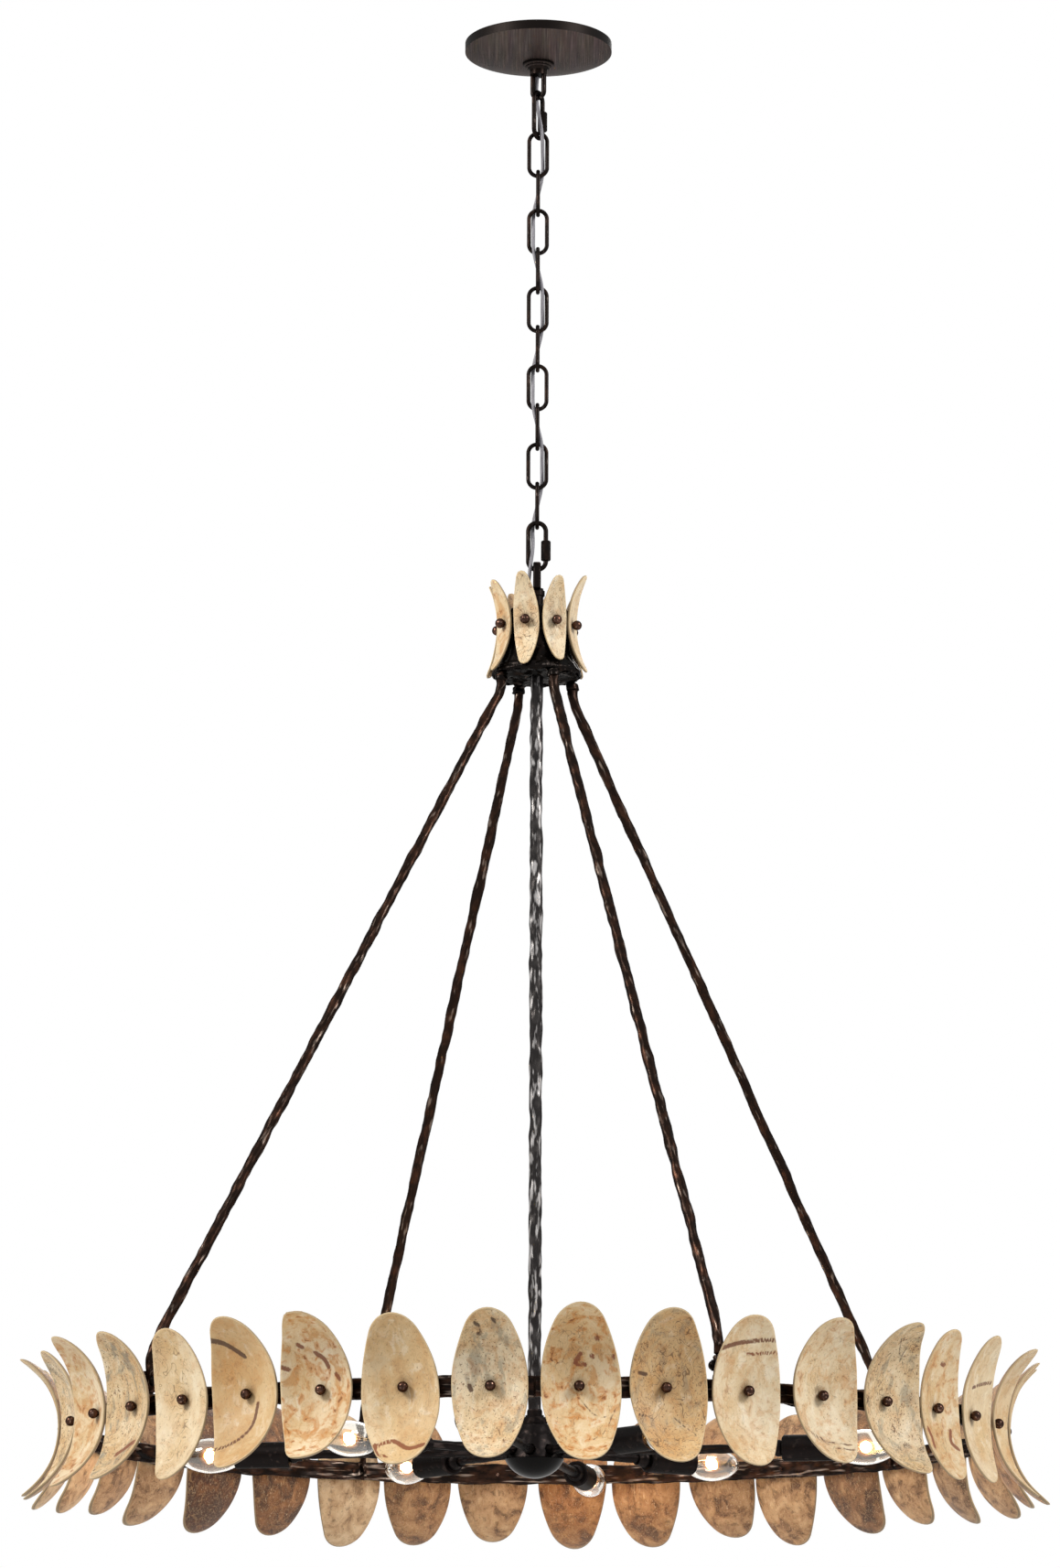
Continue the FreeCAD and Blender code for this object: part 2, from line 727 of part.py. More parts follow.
def support_rod(azimuth):
    points = [
        Vector(0, -rod_circle_radius, lug_bottom_face + rod_socket_depth - seat_gap),
        Vector(0, -rod_circle_radius, rod_knee),
        Vector(0, -rod_foot_radius, ring_level + rod_foot_knee_height),
        Vector(0, -rod_foot_radius, ring_level + rod_foot_height)]
    rod = tube(bent_path(points, [rod_knee_bend, rod_foot_bend]), rod_radius)
    # The foot is halved, so that the hoop's lug lies in the other half
    half_lap = Part.makeBox(2 * rod_radius, 4 * rod_radius, lug_top + seat_gap,
                            Vector(-2 * rod_radius, -rod_foot_radius - 2 * rod_radius,
                                   ring_level + seat_gap))
    rod = rod.cut(half_lap)
    return spin(rod.cut(foot_screw_hole()), azimuth)


def foot_screw_hole():
    reach = 3 * rod_radius
    return Part.makeCylinder(foot_screw_radius + running_fit, 2 * reach,
                             Vector(-reach, -rod_foot_radius, ring_level + foot_screw_height),
                             ALONG_X)


# Hoop


def ring_band():
    inner = ring_radius - ring_thickness
    low = ring_level - ring_height / 2
    high = ring_level + ring_height / 2
    band = rod_along_z(ring_radius, low, high)
    band = band.cut(rod_along_z(inner, low - cut_overrun, high + cut_overrun))
    lug = Part.makeBox(lug_thickness, lug_depth + ring_thickness / 2, lug_top + lug_bottom,
                       Vector(-lug_thickness - seat_gap, -inner - ring_thickness / 2,
                              ring_level - lug_bottom))
    corners = [edge for edge in lug.Edges
               if abs(edge.tangentAt(edge.FirstParameter).x) > 0.9
               and edge.CenterOfMass.z > ring_level]
    lug = lug.makeFillet(lug_depth / 3, corners)
    lug = lug.cut(foot_screw_hole())
    band = band.fuse([spin(lug, azimuth) for azimuth in rod_azimuths])
    hole = rod_along_z(stud_radius + running_fit, inner - cut_overrun, ring_radius + cut_overrun)
    holes = [outward(hole, ring_level, disc_azimuth(number)) for number in range(disc_count)]
    return band.cut(holes)


def rod_foot_screws():
    screws = []
    level = ring_level + foot_screw_height
    for azimuth in rod_azimuths:
        reach = lug_thickness + seat_gap + foot_nut_height / 2
        shank = Part.makeCylinder(foot_screw_radius, rod_radius + reach,
                                  Vector(-reach, -rod_foot_radius, level), ALONG_X)
        head = Part.makeCylinder(foot_screw_head_radius, foot_screw_head_height,
                                 Vector(rod_radius, -rod_foot_radius, level), ALONG_X)
        rim = [edge for edge in head.Edges
               if edge.BoundBox.XMin > rod_radius + foot_screw_head_height / 2]
        head = head.makeFillet(foot_screw_head_height / 2, rim)
        screws.append(spin(shank.fuse(head), azimuth))
    return Part.makeCompound(screws)


def rod_foot_nuts():
    # Cap nuts on the lugs' far side
    corner = foot_nut_across / math.sqrt(3)
    base = foot_nut_height / 2
    nut = hexagon(foot_nut_across, 0, base)
    dome = lathe([(0, 0), (corner - foot_nut_height / 6, 0),
                  (corner - foot_nut_height / 6, base),
                  ((corner * 0.6, foot_nut_height * 0.85), (0, foot_nut_height))])
    cap = nut.fuse(dome)
    cap = cap.cut(rod_along_z(foot_screw_radius + running_fit, -cut_overrun, base + seat_gap))
    cap.rotate(ORIGIN, ALONG_Y, -90)
    cap.translate(Vector(-lug_thickness - seat_gap, -rod_foot_radius,
                         ring_level + foot_screw_height))
    return Part.makeCompound([spin(cap, azimuth) for azimuth in rod_azimuths])


# Shell discs


def disc_azimuth(number):
    return 360 / disc_count * (number + 0.5)


def ring_shell(number):
    pick = number % len(disc_leans)
    disc = shell_piece(disc_curve * disc_curve_shares[pick], disc_length * disc_length_shares[pick],
                       disc_width * disc_width_shares[pick], disc_end_share, disc_back, ring_level,
                       disc_leans[pick], disc_rolls[pick], disc_side_turns[pick])
    return spin(disc, disc_azimuth(number))


def ring_shell_nuts():
    nut = ball_nut(disc_back, ring_thickness, ring_level)
    return Part.makeCompound([spin(nut, disc_azimuth(number)) for number in range(disc_count)])


# Lamp cluster


def stem_cap():
    # Collar and flange where the stem meets the lamp body
    low = lamp_level + bell_top_height + lamp_drop
    flange = low + cap_flange_height
    high = flange + cap_collar_height
    bore = stem_radius + running_fit
    edge = cap_flange_height / 5
    return lathe([
        (bore, low), (cap_flange_radius, low), (cap_flange_radius, flange - 2 * edge),
        (cap_flange_radius - edge, flange - edge), (cap_flange_radius - 2 * edge, flange - edge),
        (cap_flange_radius - 2 * edge, flange), (cap_collar_radius, flange),
        (cap_collar_radius, high - edge), (cap_collar_radius - edge / 2, high), (bore, high)])


def arm_azimuths():
    long_turns = [long_arm_turn + 360 / arm_repeat * number for number in range(arm_repeat)]
    short_turns = [short_arm_turn + 360 / arm_repeat * number for number in range(arm_repeat)]
    return long_turns, short_turns


def lamp_bell():
    top = ring_level + bell_top_height
    shoulder = ring_level - bell_shoulder_drop
    low = ring_level - bell_bottom_drop
    seat = low + bowl_lip_height + joint_clearance
    bore = stem_radius + running_fit
    body = lathe([
        (bore, top), (bell_top_radius, top),
        ((bell_shoulder_radius, shoulder), (bell_radius, low)),
        (bell_radius - bell_wall, low), (bell_radius - bell_wall, seat),
        ((bell_shoulder_radius - bell_wall, shoulder - bell_wall / 2),
         (bell_top_radius - bell_wall / 2, top - bell_wall)),
        (bore, top - bell_wall)])
    hole = rod_along_z(arm_radius + running_fit, arm_start, bell_radius + cut_overrun)
    for turns in arm_azimuths():
        body = body.cut([outward(hole, lamp_level, azimuth) for azimuth in turns])
    return body


def lamp_bowl():
    # The lower cover, with a lip that fits inside the bell
    seam = ring_level - bell_bottom_drop
    low = ring_level - bowl_bottom_drop
    lip = bell_radius - bell_wall - running_fit
    inside = lip - bowl_lip_wall
    rise = seam - low
    sphere = (bell_radius**2 + rise**2) / (2 * rise)
    ball = Part.makeSphere(sphere, Vector(0, 0, low + sphere))
    ball = ball.cut(Part.makeSphere(sphere - bowl_wall, Vector(0, 0, low + sphere)))
    bowl = ball.common(rod_along_z(sphere, low - cut_overrun, seam))
    skirt = lathe([(lip, seam - bowl_wall), (lip, seam + bowl_lip_height),
                   (inside, seam + bowl_lip_height), (inside, seam - bowl_wall)])
    return bowl.fuse(skirt)


def lamp_arm(reach):
    return rod_along_z(arm_radius, arm_start, reach + coupling_grip).cut(
        rod_along_z(arm_bore_radius, arm_start - cut_overrun, reach + coupling_grip + cut_overrun))


def arm_coupling(reach):
    # Knob that joins the arm's end to its lamp, with a hollow nose through the cup's back
    neck = reach - coupling_neck_length
    end = reach + coupling_knob_length
    nose = end + coupling_nose_length
    grip = arm_radius + running_fit
    seat = reach + coupling_grip + seat_gap
    bulge = (reach + end) / 2
    return lathe([
        (grip, neck), (coupling_neck_radius, neck), (coupling_neck_radius, reach),
        ((coupling_knob_radius, bulge), (coupling_end_radius, end)),
        (coupling_nose_radius, end), (coupling_nose_radius, nose),
        (arm_bore_radius, nose), (arm_bore_radius, seat), (grip, seat)])


def socket_cup(reach):
    back = reach + coupling_knob_length
    mouth = back + cup_length
    inner = cup_radius - cup_wall
    hole = coupling_nose_radius + running_fit
    return lathe([
        (hole, back), (cup_radius - cup_bevel, back), (cup_radius, back + cup_bevel),
        (cup_radius, mouth), (inner, mouth), (inner, back + cup_wall + cup_bevel),
        (inner - cup_bevel, back + cup_wall), (hole, back + cup_wall)])


def lamp_socket(reach):
    # Insulator with its threaded bore, seated on the coupling's nose
    back = reach + coupling_knob_length
    start = back + cup_wall + seat_gap
    mouth = start + socket_length
    bore = bulb_base_radius + joint_clearance
    hole = coupling_nose_radius + running_fit
    floor = back + cup_length - bulb_base_start - joint_clearance
    wires = arm_bore_radius
    nose = back + coupling_nose_length + seat_gap
    return lathe([
        (hole, start), (socket_step_radius, start), (socket_step_radius, start + socket_step_length),
        (socket_radius, start + socket_step_length), (socket_radius, mouth),
        (bulb_collar_radius + joint_clearance, mouth),
        (bulb_collar_radius + joint_clearance, back + cup_length - bulb_collar_start - joint_clearance),
        (bore, back + cup_length - bulb_collar_start - joint_clearance), (bore, floor),
        (wires, floor), (wires, nose), (hole, nose)])


def bulb(reach, azimuth):
    mouth = reach + coupling_knob_length + cup_length
    start = mouth - bulb_base_start
    end = start + bulb_base_length
    wall = bulb_wall
    base = [(0, start), (bulb_contact_radius, start),
            (bulb_contact_radius, start + bulb_contact_height / 2),
            (bulb_base_radius - bulb_thread_depth, start + bulb_contact_height)]
    collar = mouth - bulb_collar_start
    thread_start = start + bulb_contact_height
    thread_pitch = (collar - thread_start) / (bulb_thread_count + 0.5)
    for turn in range(bulb_thread_count):
        crest = thread_start + thread_pitch * (turn + 0.5)
        base.append((bulb_base_radius, crest))
        base.append((bulb_base_radius - bulb_thread_depth, crest + thread_pitch / 2))
    base += [(bulb_base_radius, collar), (bulb_collar_radius, collar),
             (bulb_collar_radius, end), (0, end)]
    outside = [(bulb_throat_radius, mouth - bulb_throat_start), (bulb_mouth_radius, mouth),
               (bulb_shoulder_radius, mouth + bulb_shoulder_reach),
               (bulb_belly_radius, mouth + bulb_belly_reach),
               (bulb_brow_radius, mouth + bulb_brow_reach),
               (bulb_nose_radius, mouth + bulb_nose_reach)]
    inside = [(radius - wall, height) for radius, height in outside[::-1]]
    inside[0] = (bulb_nose_radius - wall / 2, mouth + bulb_nose_reach - wall)
    glass = lathe([(bulb_neck_radius, end), outside + [(0, mouth + bulb_tip_reach)],
                   (0, mouth + bulb_tip_reach - wall), inside + [(bulb_neck_radius - wall, end)]])
    pieces = [outward(lathe(base), lamp_level, azimuth), outward(glass, lamp_level, azimuth)]
    return Part.makeCompound(pieces)


# Cord


def cord_points():
    # From the nipple out of the loop's back, round the chain a quarter turn a link, and
    # down beside the eye into the hub
    points = [
        Vector(0, 0, 0),
        Vector(0.2, -0.9, 2 - nipple_drop),
        Vector(-1.5, 9.0, loop_bottom + 23.1),
        Vector(-2.3, 7.8, loop_bottom + 5.3),
        Vector(0.6, -0.6, top_quick_centre),
        Vector(4.2, -5.8, (top_quick_bottom + first_link_top) / 2)]
    for number in range(link_count):
        inside = Vector(cord_inside, 0, first_link_centre - number * link_pitch)
        corner = Vector(cord_corner, cord_corner, inside.z - link_pitch / 2)
        turn = FreeCAD.Rotation(ALONG_Z, 90 * number)
        points += [turn.multVec(inside), turn.multVec(corner)]
    points += [
        Vector(-3.8, -0.2, low_quick_centre),
        Vector(-6.8, -5.3, (low_quick_bottom + eye_top) / 2),
        Vector(-8.8, -6.6, eye_bottom + 3.5),
        Vector(-9.6, -7.4, hub_top),
        Vector(-9.0, -7.0, hub_top - 14.0)]
    return points


def cord_bends(points):
    bends = []
    for before, corner, after in zip(points, points[1:], points[2:]):
        turn = (corner - before).getAngle(after - corner)
        run = min((corner - before).Length, (after - corner).Length)
        bends.append(cord_bend_share * run / math.tan(turn / 2))
    return bends


def cord_path(points):
    return bent_path(points, cord_bends(points))


def cord():
    path = cord_path(cord_points())
    shape = tube(path, cord_radius)
    expected = path.Length * math.pi * cord_radius**2
    print("cord length", round(path.Length, 1), "volume share", round(shape.Volume / expected, 5))
    print("cord bend radii", [round(bend, 1) for bend in cord_bends(cord_points())])
    return shape


put(ceiling_crossbar(), "ceiling_crossbar")
put(canopy_nipple(), "canopy_nipple")
put(nipple_locknut(), "nipple_locknut")
put(canopy_plate(), "canopy_plate")
put(canopy_collar(), "canopy_collar")
put(canopy_loop(), "canopy_loop")

put(quick_link(top_quick_centre, quick_turn), "quick_link_top")
put(quick_link_nut(top_quick_centre, quick_turn), "quick_link_top_nut")
for number in range(link_count):
    put(chain_link(number), "chain_link_" + str(number + 1).zfill(2))
put(quick_link(low_quick_centre, 0), "quick_link_bottom")
put(quick_link_nut(low_quick_centre, 0), "quick_link_bottom_nut")

put(hub_eye(), "hub_eye")
put(hub_eye_nut(), "hub_eye_nut")
put(hub_casting(), "hub_casting")
put(hub_base(), "hub_base")
put(hub_base_screws(), "hub_base_screws")
put(hub_petals(), "hub_petals")
put(hub_petal_nuts(), "hub_petal_nuts")
put(centre_stem(), "centre_stem")
for number, azimuth in enumerate(rod_azimuths):
    put(support_rod(azimuth), "support_rod_" + str(number + 1))

put(ring_band(), "ring_band")
put(rod_foot_screws(), "rod_foot_screws")
put(rod_foot_nuts(), "rod_foot_nuts")
quarters = ("front_right", "back_right", "back_left", "front_left")
for quarter, side in enumerate(quarters):
    discs = [ring_shell(number) for number in range(disc_count)
             if number * len(quarters) // disc_count == quarter]
    put(Part.makeCompound(discs), "ring_shells_" + side)
put(ring_shell_nuts(), "ring_shell_nuts")

put(stem_cap(), "stem_cap")
put(lamp_bell(), "lamp_bell")
put(lamp_bowl(), "lamp_bowl")
bulb_number = 0
couplings = []
sockets = []
for name, reach, turns in zip(("long", "short"), (long_arm_reach, short_arm_reach), arm_azimuths()):
    arms = [outward(lamp_arm(reach), lamp_level, azimuth) for azimuth in turns]
    cups = [outward(socket_cup(reach), lamp_level, azimuth) for azimuth in turns]
    put(Part.makeCompound(arms), "lamp_arms_" + name)
    put(Part.makeCompound(cups), "socket_cups_" + name)
    couplings += [outward(arm_coupling(reach), lamp_level, azimuth) for azimuth in turns]
    sockets += [outward(lamp_socket(reach), lamp_level, azimuth) for azimuth in turns]
    for azimuth in turns:
        bulb_number += 1
        put(bulb(reach, azimuth), "bulb_" + str(bulb_number))
put(Part.makeCompound(couplings), "arm_couplings")
put(Part.makeCompound(sockets), "lamp_sockets")
put(cord(), "cord")
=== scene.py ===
import json
import math

import bpy
import numpy as np
from mathutils import Matrix, Vector, noise

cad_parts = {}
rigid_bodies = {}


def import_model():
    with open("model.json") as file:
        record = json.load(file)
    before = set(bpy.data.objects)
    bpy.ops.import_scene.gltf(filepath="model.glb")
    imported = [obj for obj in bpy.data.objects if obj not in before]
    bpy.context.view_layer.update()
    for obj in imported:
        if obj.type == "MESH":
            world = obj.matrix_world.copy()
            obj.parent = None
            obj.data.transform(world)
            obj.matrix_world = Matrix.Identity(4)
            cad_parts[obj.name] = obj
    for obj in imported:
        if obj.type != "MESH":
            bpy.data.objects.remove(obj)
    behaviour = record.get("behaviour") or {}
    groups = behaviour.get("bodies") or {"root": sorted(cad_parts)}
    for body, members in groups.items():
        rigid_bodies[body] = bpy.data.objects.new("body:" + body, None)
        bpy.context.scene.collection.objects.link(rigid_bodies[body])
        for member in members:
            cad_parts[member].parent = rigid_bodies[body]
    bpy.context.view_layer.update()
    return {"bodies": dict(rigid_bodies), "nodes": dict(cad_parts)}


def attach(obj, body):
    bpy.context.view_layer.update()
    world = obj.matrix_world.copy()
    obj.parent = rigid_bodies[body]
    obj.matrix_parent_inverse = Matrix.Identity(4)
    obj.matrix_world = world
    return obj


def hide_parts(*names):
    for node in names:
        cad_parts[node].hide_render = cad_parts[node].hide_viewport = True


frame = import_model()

# Lengths are written in millimetres and turned to metres where a mesh or a lamp is made
MM = 0.001

# The camera that took the photograph, worked out from the hoop's ellipse and the rods
image_width = 1159
image_height = 1714
focal_pixels = 6259
optical_axis_x = 586.5
camera_distance = 5669.0
camera_height = -1984.5
camera_pitch = 11.93
camera_roll = 0.161
sensor_height = 36.0
nearest_seen = 100.0
farthest_seen = 200000.0

floor_level = -3400.0
floor_size = 60000.0
floor_glow = 0.62
room_glow = 0.42
lit_place = (0, 0, -1200)

# Places and sizes that the part's source gives
ring_level = -1443.55
ring_radius = 457.0
lamp_level = -1460.55
hub_top = -606.35
petal_screw = hub_top - 18.2
seat_gap = 0.15
stud_radius = 2.0
shell_thickness = 3.0
rod_azimuths = (22.3, 124.6, 204.2, 305.5)
rod_lean = 30
arm_middle = 150.0

disc_count = 36
disc_curve = 77.0
disc_length = 139.0
disc_width = 71.0
disc_end_share = 0.7
disc_back = ring_radius + seat_gap
petal_count = 8
petal_curve = 87.0
petal_length = 95.0
petal_width = 27.0
petal_end_share = 0.45
petal_back = 34.4 + seat_gap
petal_turn = 6.0

# Each disc's own form, from the front towards the right, as in the part's source
disc_curve_shares = (1.01, 1.07, 1.29, 1.06, 0.98, 1.45, 1.45, 1.05, 1.03, 1.04, 1.11, 1.02,
                     1.05, 1.1, 1.3, 0.99, 1.09, 1.01, 1.03, 1.07, 1.22, 1.17, 1.06, 0.97, 1,
                     1.1, 1.1, 0.95, 1.11, 1.03, 1.03, 1.36, 1.03, 0.9, 1.13, 1.02)
disc_length_shares = (1.02, 1.01, 1, 0.96, 1, 1.02, 1, 1.02, 1, 1, 1, 1, 0.96, 0.99, 0.99,
                      0.94, 0.99, 1.06, 0.95, 1.01, 1.01, 0.98, 1, 1, 0.95, 1, 1, 0.96, 1.05,
                      1.02, 1.01, 1.03, 1.01, 0.96, 1.01, 0.98)
disc_width_shares = (1.04, 1.03, 1, 1.04, 1.03, 0.9, 0.95, 0.96, 1, 1, 1.02, 1, 1.03, 1.06,
                     1.09, 1.06, 1.06, 1.04, 1.06, 1.03, 1.01, 1.02, 1, 0.99, 0.99, 1.01, 1, 1,
                     1, 0.97, 1.04, 1, 1.09, 1.02, 1.04, 0.99)
disc_leans = (0, 0, -1, 4, 2, 2, 4, 0, -4, 2, -3, 1, 2, -2, -7, -2, -7, 1, -2, -4, -6, -1, -1,
              2, 2, 0, -3, 2, -6, 1, -2, -4, -2, 0, -5, -1)
disc_rolls = (-3, -3, 1, -5, -5, -6, -3, 2, 0, 0, 8, -4, 9, 9, -6, 6, -2, -2, 1, 3, 4, 0, -3,
              -8, -8, -8, -3, 1, -3, 1, -1, -8, -5, -2, -5, 0)
disc_side_turns = (-1, -1, 2, 0, -2, -2, -2, 0, 0, 0, 4, 0, -3, -1, -2, 0, -2, 0, -3, -3, 0, 1,
                   -4, -3, 2, 2, 1, -1, 0, 3, 0, 0, -2, 2, 1, 0)
petal_leans = (1, 1, -1, 1, 0, -1, -2, 0)
petal_rolls = (-1, -4, 2, -1, 3, -2, -4, -2)
petal_length_shares = (0.93, 1.05, 0.99, 1.02, 0.98, 1.03, 1.02, 1.02)

# How each disc's hollow side looks, in percent: warmth from cream to ochre, rust spots, grey
# smudges, fine scratches, and the darkness of its back
disc_looks = (
    (45, 95, 5, 50, 45), (60, 30, 45, 75, 55), (15, 35, 5, 25, 50),
    (15, 45, 10, 45, 40), (30, 20, 60, 95, 45), (35, 60, 10, 30, 50), (20, 10, 10, 25, 55),
    (40, 30, 10, 30, 50), (45, 35, 20, 40, 60), (50, 30, 20, 40, 60), (35, 40, 30, 50, 45),
    (20, 20, 30, 40, 55), (40, 50, 20, 30, 40), (50, 40, 40, 40, 72), (45, 50, 20, 50, 42),
    (55, 20, 20, 40, 50), (75, 40, 20, 40, 50), (95, 30, 10, 50, 55), (40, 40, 10, 40, 40),
    (55, 30, 30, 40, 55), (15, 60, 20, 30, 22), (70, 20, 30, 30, 80), (90, 60, 20, 40, 100),
    (30, 30, 20, 60, 50), (30, 30, 60, 40, 50), (50, 20, 10, 30, 20), (20, 30, 20, 30, 25),
    (30, 30, 40, 40, 50), (15, 20, 75, 50, 50), (25, 75, 5, 20, 45), (30, 25, 80, 40, 45),
    (20, 10, 5, 60, 40), (58, 25, 5, 20, 60), (25, 90, 0, 20, 45), (42, 15, 15, 20, 50),
    (20, 35, 60, 30, 50))

# Dark streaks on a disc's hollow side: points across and up from the middle, as percents of
# half its width and length, then how many millimetres wider than 2 the streak is, and its
# redness from 0 to 1
disc_streaks = {
    0: [((-30, 5), (5, -22), (35, -40), (75, -42), -0.9, 0.2),
        ((5, 42), (-10, 30), (15, 27), 2.0, 0.9), ((30, 38), (34, 36), 2.2, 0.9),
        ((82, 36), (84, 33), 1.8, 0.9), ((42, 60), (46, 57), 2.0, 0.8),
        ((-90, 40), (-50, 30), (-30, 42), -0.9, 0.3), ((20, -72), (50, -62), (85, -30), -0.9, 0.2)],
    1: [((10, -38), (30, -50), (62, -66), -0.7, 0.0), ((-75, 20), (-55, 18), 1.8, 0.1),
        ((-80, -35), (-66, -36), 1.4, 0.1), ((-30, -62), (20, -72), (50, -70), -0.9, 0.1)],
    2: [((-95, 52), (-40, 62), (20, 68), (80, 70), 2.0, 0.5),
        ((0, 50), (35, 52), (90, 55), 1.2, 0.8)],
    3: [((-60, -62), (-10, -78), (50, -84), -0.5, 0.3),
        ((-70, -54), (-10, -71), (50, -77), -0.5, 0.3)],
    4: [((-10, 85), (20, 60), (50, 42), -0.6, 0.0), ((35, 80), (30, 50), -0.6, 0.0)],
    5: [((-75, -30), (-60, -42), (-62, -55), 3.0, 1.0),
        ((50, -35), (40, -50), (60, -60), 2.2, 0.9), ((0, 55), (20, 52), 2.2, 0.7)],
    6: [((-20, 28), (35, 34), (80, 37), 1.6, 0.4)],
    30: [((-20, -62), (25, -50), (55, -48), 3.4, 0.9)],
    32: [((-90, 78), (-40, 72), (5, 52), 2.6, 0.1),
         ((22, -10), (10, -42), (-35, -62), (-90, -72), 2.0, 0.4)],
    33: [((0, 50), (20, 42), (30, 30), 2.4, 0.7), ((-90, 33), (-75, 30), 2.4, 0.7),
         ((-40, 62), (-30, 58), 2.0, 0.8), ((50, 20), (60, 12), 2.0, 0.8)],
    34: [((-60, -68), (-20, -63), (20, -76), (62, -74), 2.4, 0.9),
         ((-65, -66), (-58, -80), (-30, -86), 1.4, 0.9)],
    35: [((20, -55), (35, -70), (50, -82), -0.6, 0.2), ((-55, 2), (-50, -4), 2.2, 0.1),
         ((-35, 82), (-25, 78), 1.6, 0.0), ((10, 86), (20, 83), 1.6, 0.0),
         ((-30, 68), (-20, 70), 1.4, 0.0)]}

petal_looks = ((5, 20, 30, 60, 30), (10, 15, 25, 50, 30), (10, 30, 20, 50, 30),
               (10, 20, 30, 50, 40), (10, 20, 20, 40, 40), (10, 30, 20, 50, 30),
               (15, 70, 10, 40, 30), (8, 25, 20, 80, 30))


# Small helpers


def linear(code):
    # An sRGB hex colour as linear light
    shares = [int(code[place:place + 2], 16) / 255 for place in (0, 2, 4)]
    return [c / 12.92 if c <= 0.04045 else ((c + 0.055) / 1.055) ** 2.4 for c in shares] + [1.0]


def smooth_step(value, low, high):
    share = np.clip((value - low) / (high - low), 0, 1)
    return share * share * (3 - 2 * share)


def rotation(axis, degrees):
    return np.array(Matrix.Rotation(math.radians(degrees), 3, axis))


def noise_at(points, across, along):
    # Smooth noise from -1 to 1 whose lumps are across and along this many millimetres
    scale = np.array([1 / across, 1 / across, 1 / along])
    return np.array([noise.noise(Vector(point)) for point in points * scale])


def placed(name, data):
    thing = bpy.data.objects.new(name, data)
    bpy.context.scene.collection.objects.link(thing)
    return thing


def mesh_of(name, points, faces):
    mesh = bpy.data.meshes.new(name)
    mesh.from_pydata((np.array(points) * MM).tolist(), [], faces)
    mesh.update()
    mesh.validate()
    mesh.shade_smooth()
    return mesh


def piece_of(mesh, material, body, stands_for=()):
    piece = placed(mesh.name, mesh)
    mesh.materials.clear()
    mesh.materials.append(material)
    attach(piece, body)
    if stands_for:
        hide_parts(*stands_for)


def keep_values(mesh, made):
    # Keeps on the mesh what its material reads at each point
    for key, values in made.items():
        values = np.asarray(values, np.float32)
        if values.ndim == 1:
            kept = mesh.attributes.new(key, "FLOAT", "POINT").data
            kept.foreach_set("value", values)
        elif values.shape[1] == 3:
            kept = mesh.attributes.new(key, "FLOAT_VECTOR", "POINT").data
            kept.foreach_set("vector", values.ravel())
        else:
            kept = mesh.attributes.new(key, "FLOAT_COLOR", "POINT").data
            kept.foreach_set("color", values.ravel())


def tube_faces(rings, segments, closed=False):
    # Faces between a tube's rings of points. It is capped, or its end is joined to its start.
    faces = []
    for ring in range(rings if closed else rings - 1):
        start, following = ring * segments, (ring + 1) % rings * segments
        for step in range(segments):
            after = (step + 1) % segments
            faces.append((start + step, start + after, following + after, following + step))
    if not closed:
        faces.append(tuple(range(segments))[::-1])
        faces.append(tuple(range((rings - 1) * segments, rings * segments)))
    return faces


def turned(outline, segments, closed=False):
    # Points and faces of a shape turned about Z from (radius, height) pairs
    turns = [2 * math.pi * step / segments for step in range(segments)]
    points = [(radius * math.cos(turn), radius * math.sin(turn), height)
              for radius, height in outline for turn in turns]
    return points, tube_faces(len(outline), segments, closed)


def smooth_line(points, steps):
    # A smooth line through given points
    points = [np.array(point, float) for point in points]
    padded = [2 * points[0] - points[1]] + points + [2 * points[-1] - points[-2]]
    line = []
    for before, start, end, after in zip(padded, padded[1:], padded[2:], padded[3:]):
        for step in range(steps):
            t = step / steps
            line.append(0.5 * (2 * start + (end - before) * t
                               + (2 * before - 5 * start + 4 * end - after) * t**2
                               + (3 * start - before - 3 * end + after) * t**3))
    return line + [points[-1]]


def sweep(line, radius, segments):
    # Points and faces of a closed tube along a line, with frames carried along it
    line = np.array(line)
    headings = np.gradient(line, axis=0)
    headings /= np.linalg.norm(headings, axis=1)[:, None]
    side = np.cross(headings[0], [1, 0, 0] if abs(headings[0][0]) < 0.9 else [0, 1, 0])
    points = []
    for place, heading in zip(line, headings):
        side = side - heading * (side @ heading)
        side /= np.linalg.norm(side)
        other = np.cross(heading, side)
        for step in range(segments):
            turn = 2 * math.pi * step / segments
            points.append(place + radius * (side * math.cos(turn) + other * math.sin(turn)))
    return points, tube_faces(len(line), segments)


def outward(points, height, azimuth):
    # Points made along +Z, laid to point out from the axis at a height and an azimuth
    laid = np.array(points) @ rotation("X", 90).T + np.array([0, 0, height])
    return laid @ rotation("Z", azimuth).T


def joined(parts):
    points, faces = [], []
    for part_points, part_faces in parts:
        start = len(points)
        points.extend(part_points)
        faces.extend(tuple(corner + start for corner in face) for face in part_faces)
    return points, faces


# Materials

# The scale at which one wave of a wave texture is one unit long, and lengths that are units
one_wave = math.pi / 10
thread_spacing = 0.5655
thread_lean = math.radians(35)
coil_pitch = 0.8


def new_material(name):
    material = bpy.data.materials.new(name)
    material.use_nodes = True
    tree = material.node_tree
    tree.nodes.clear()
    return material, tree


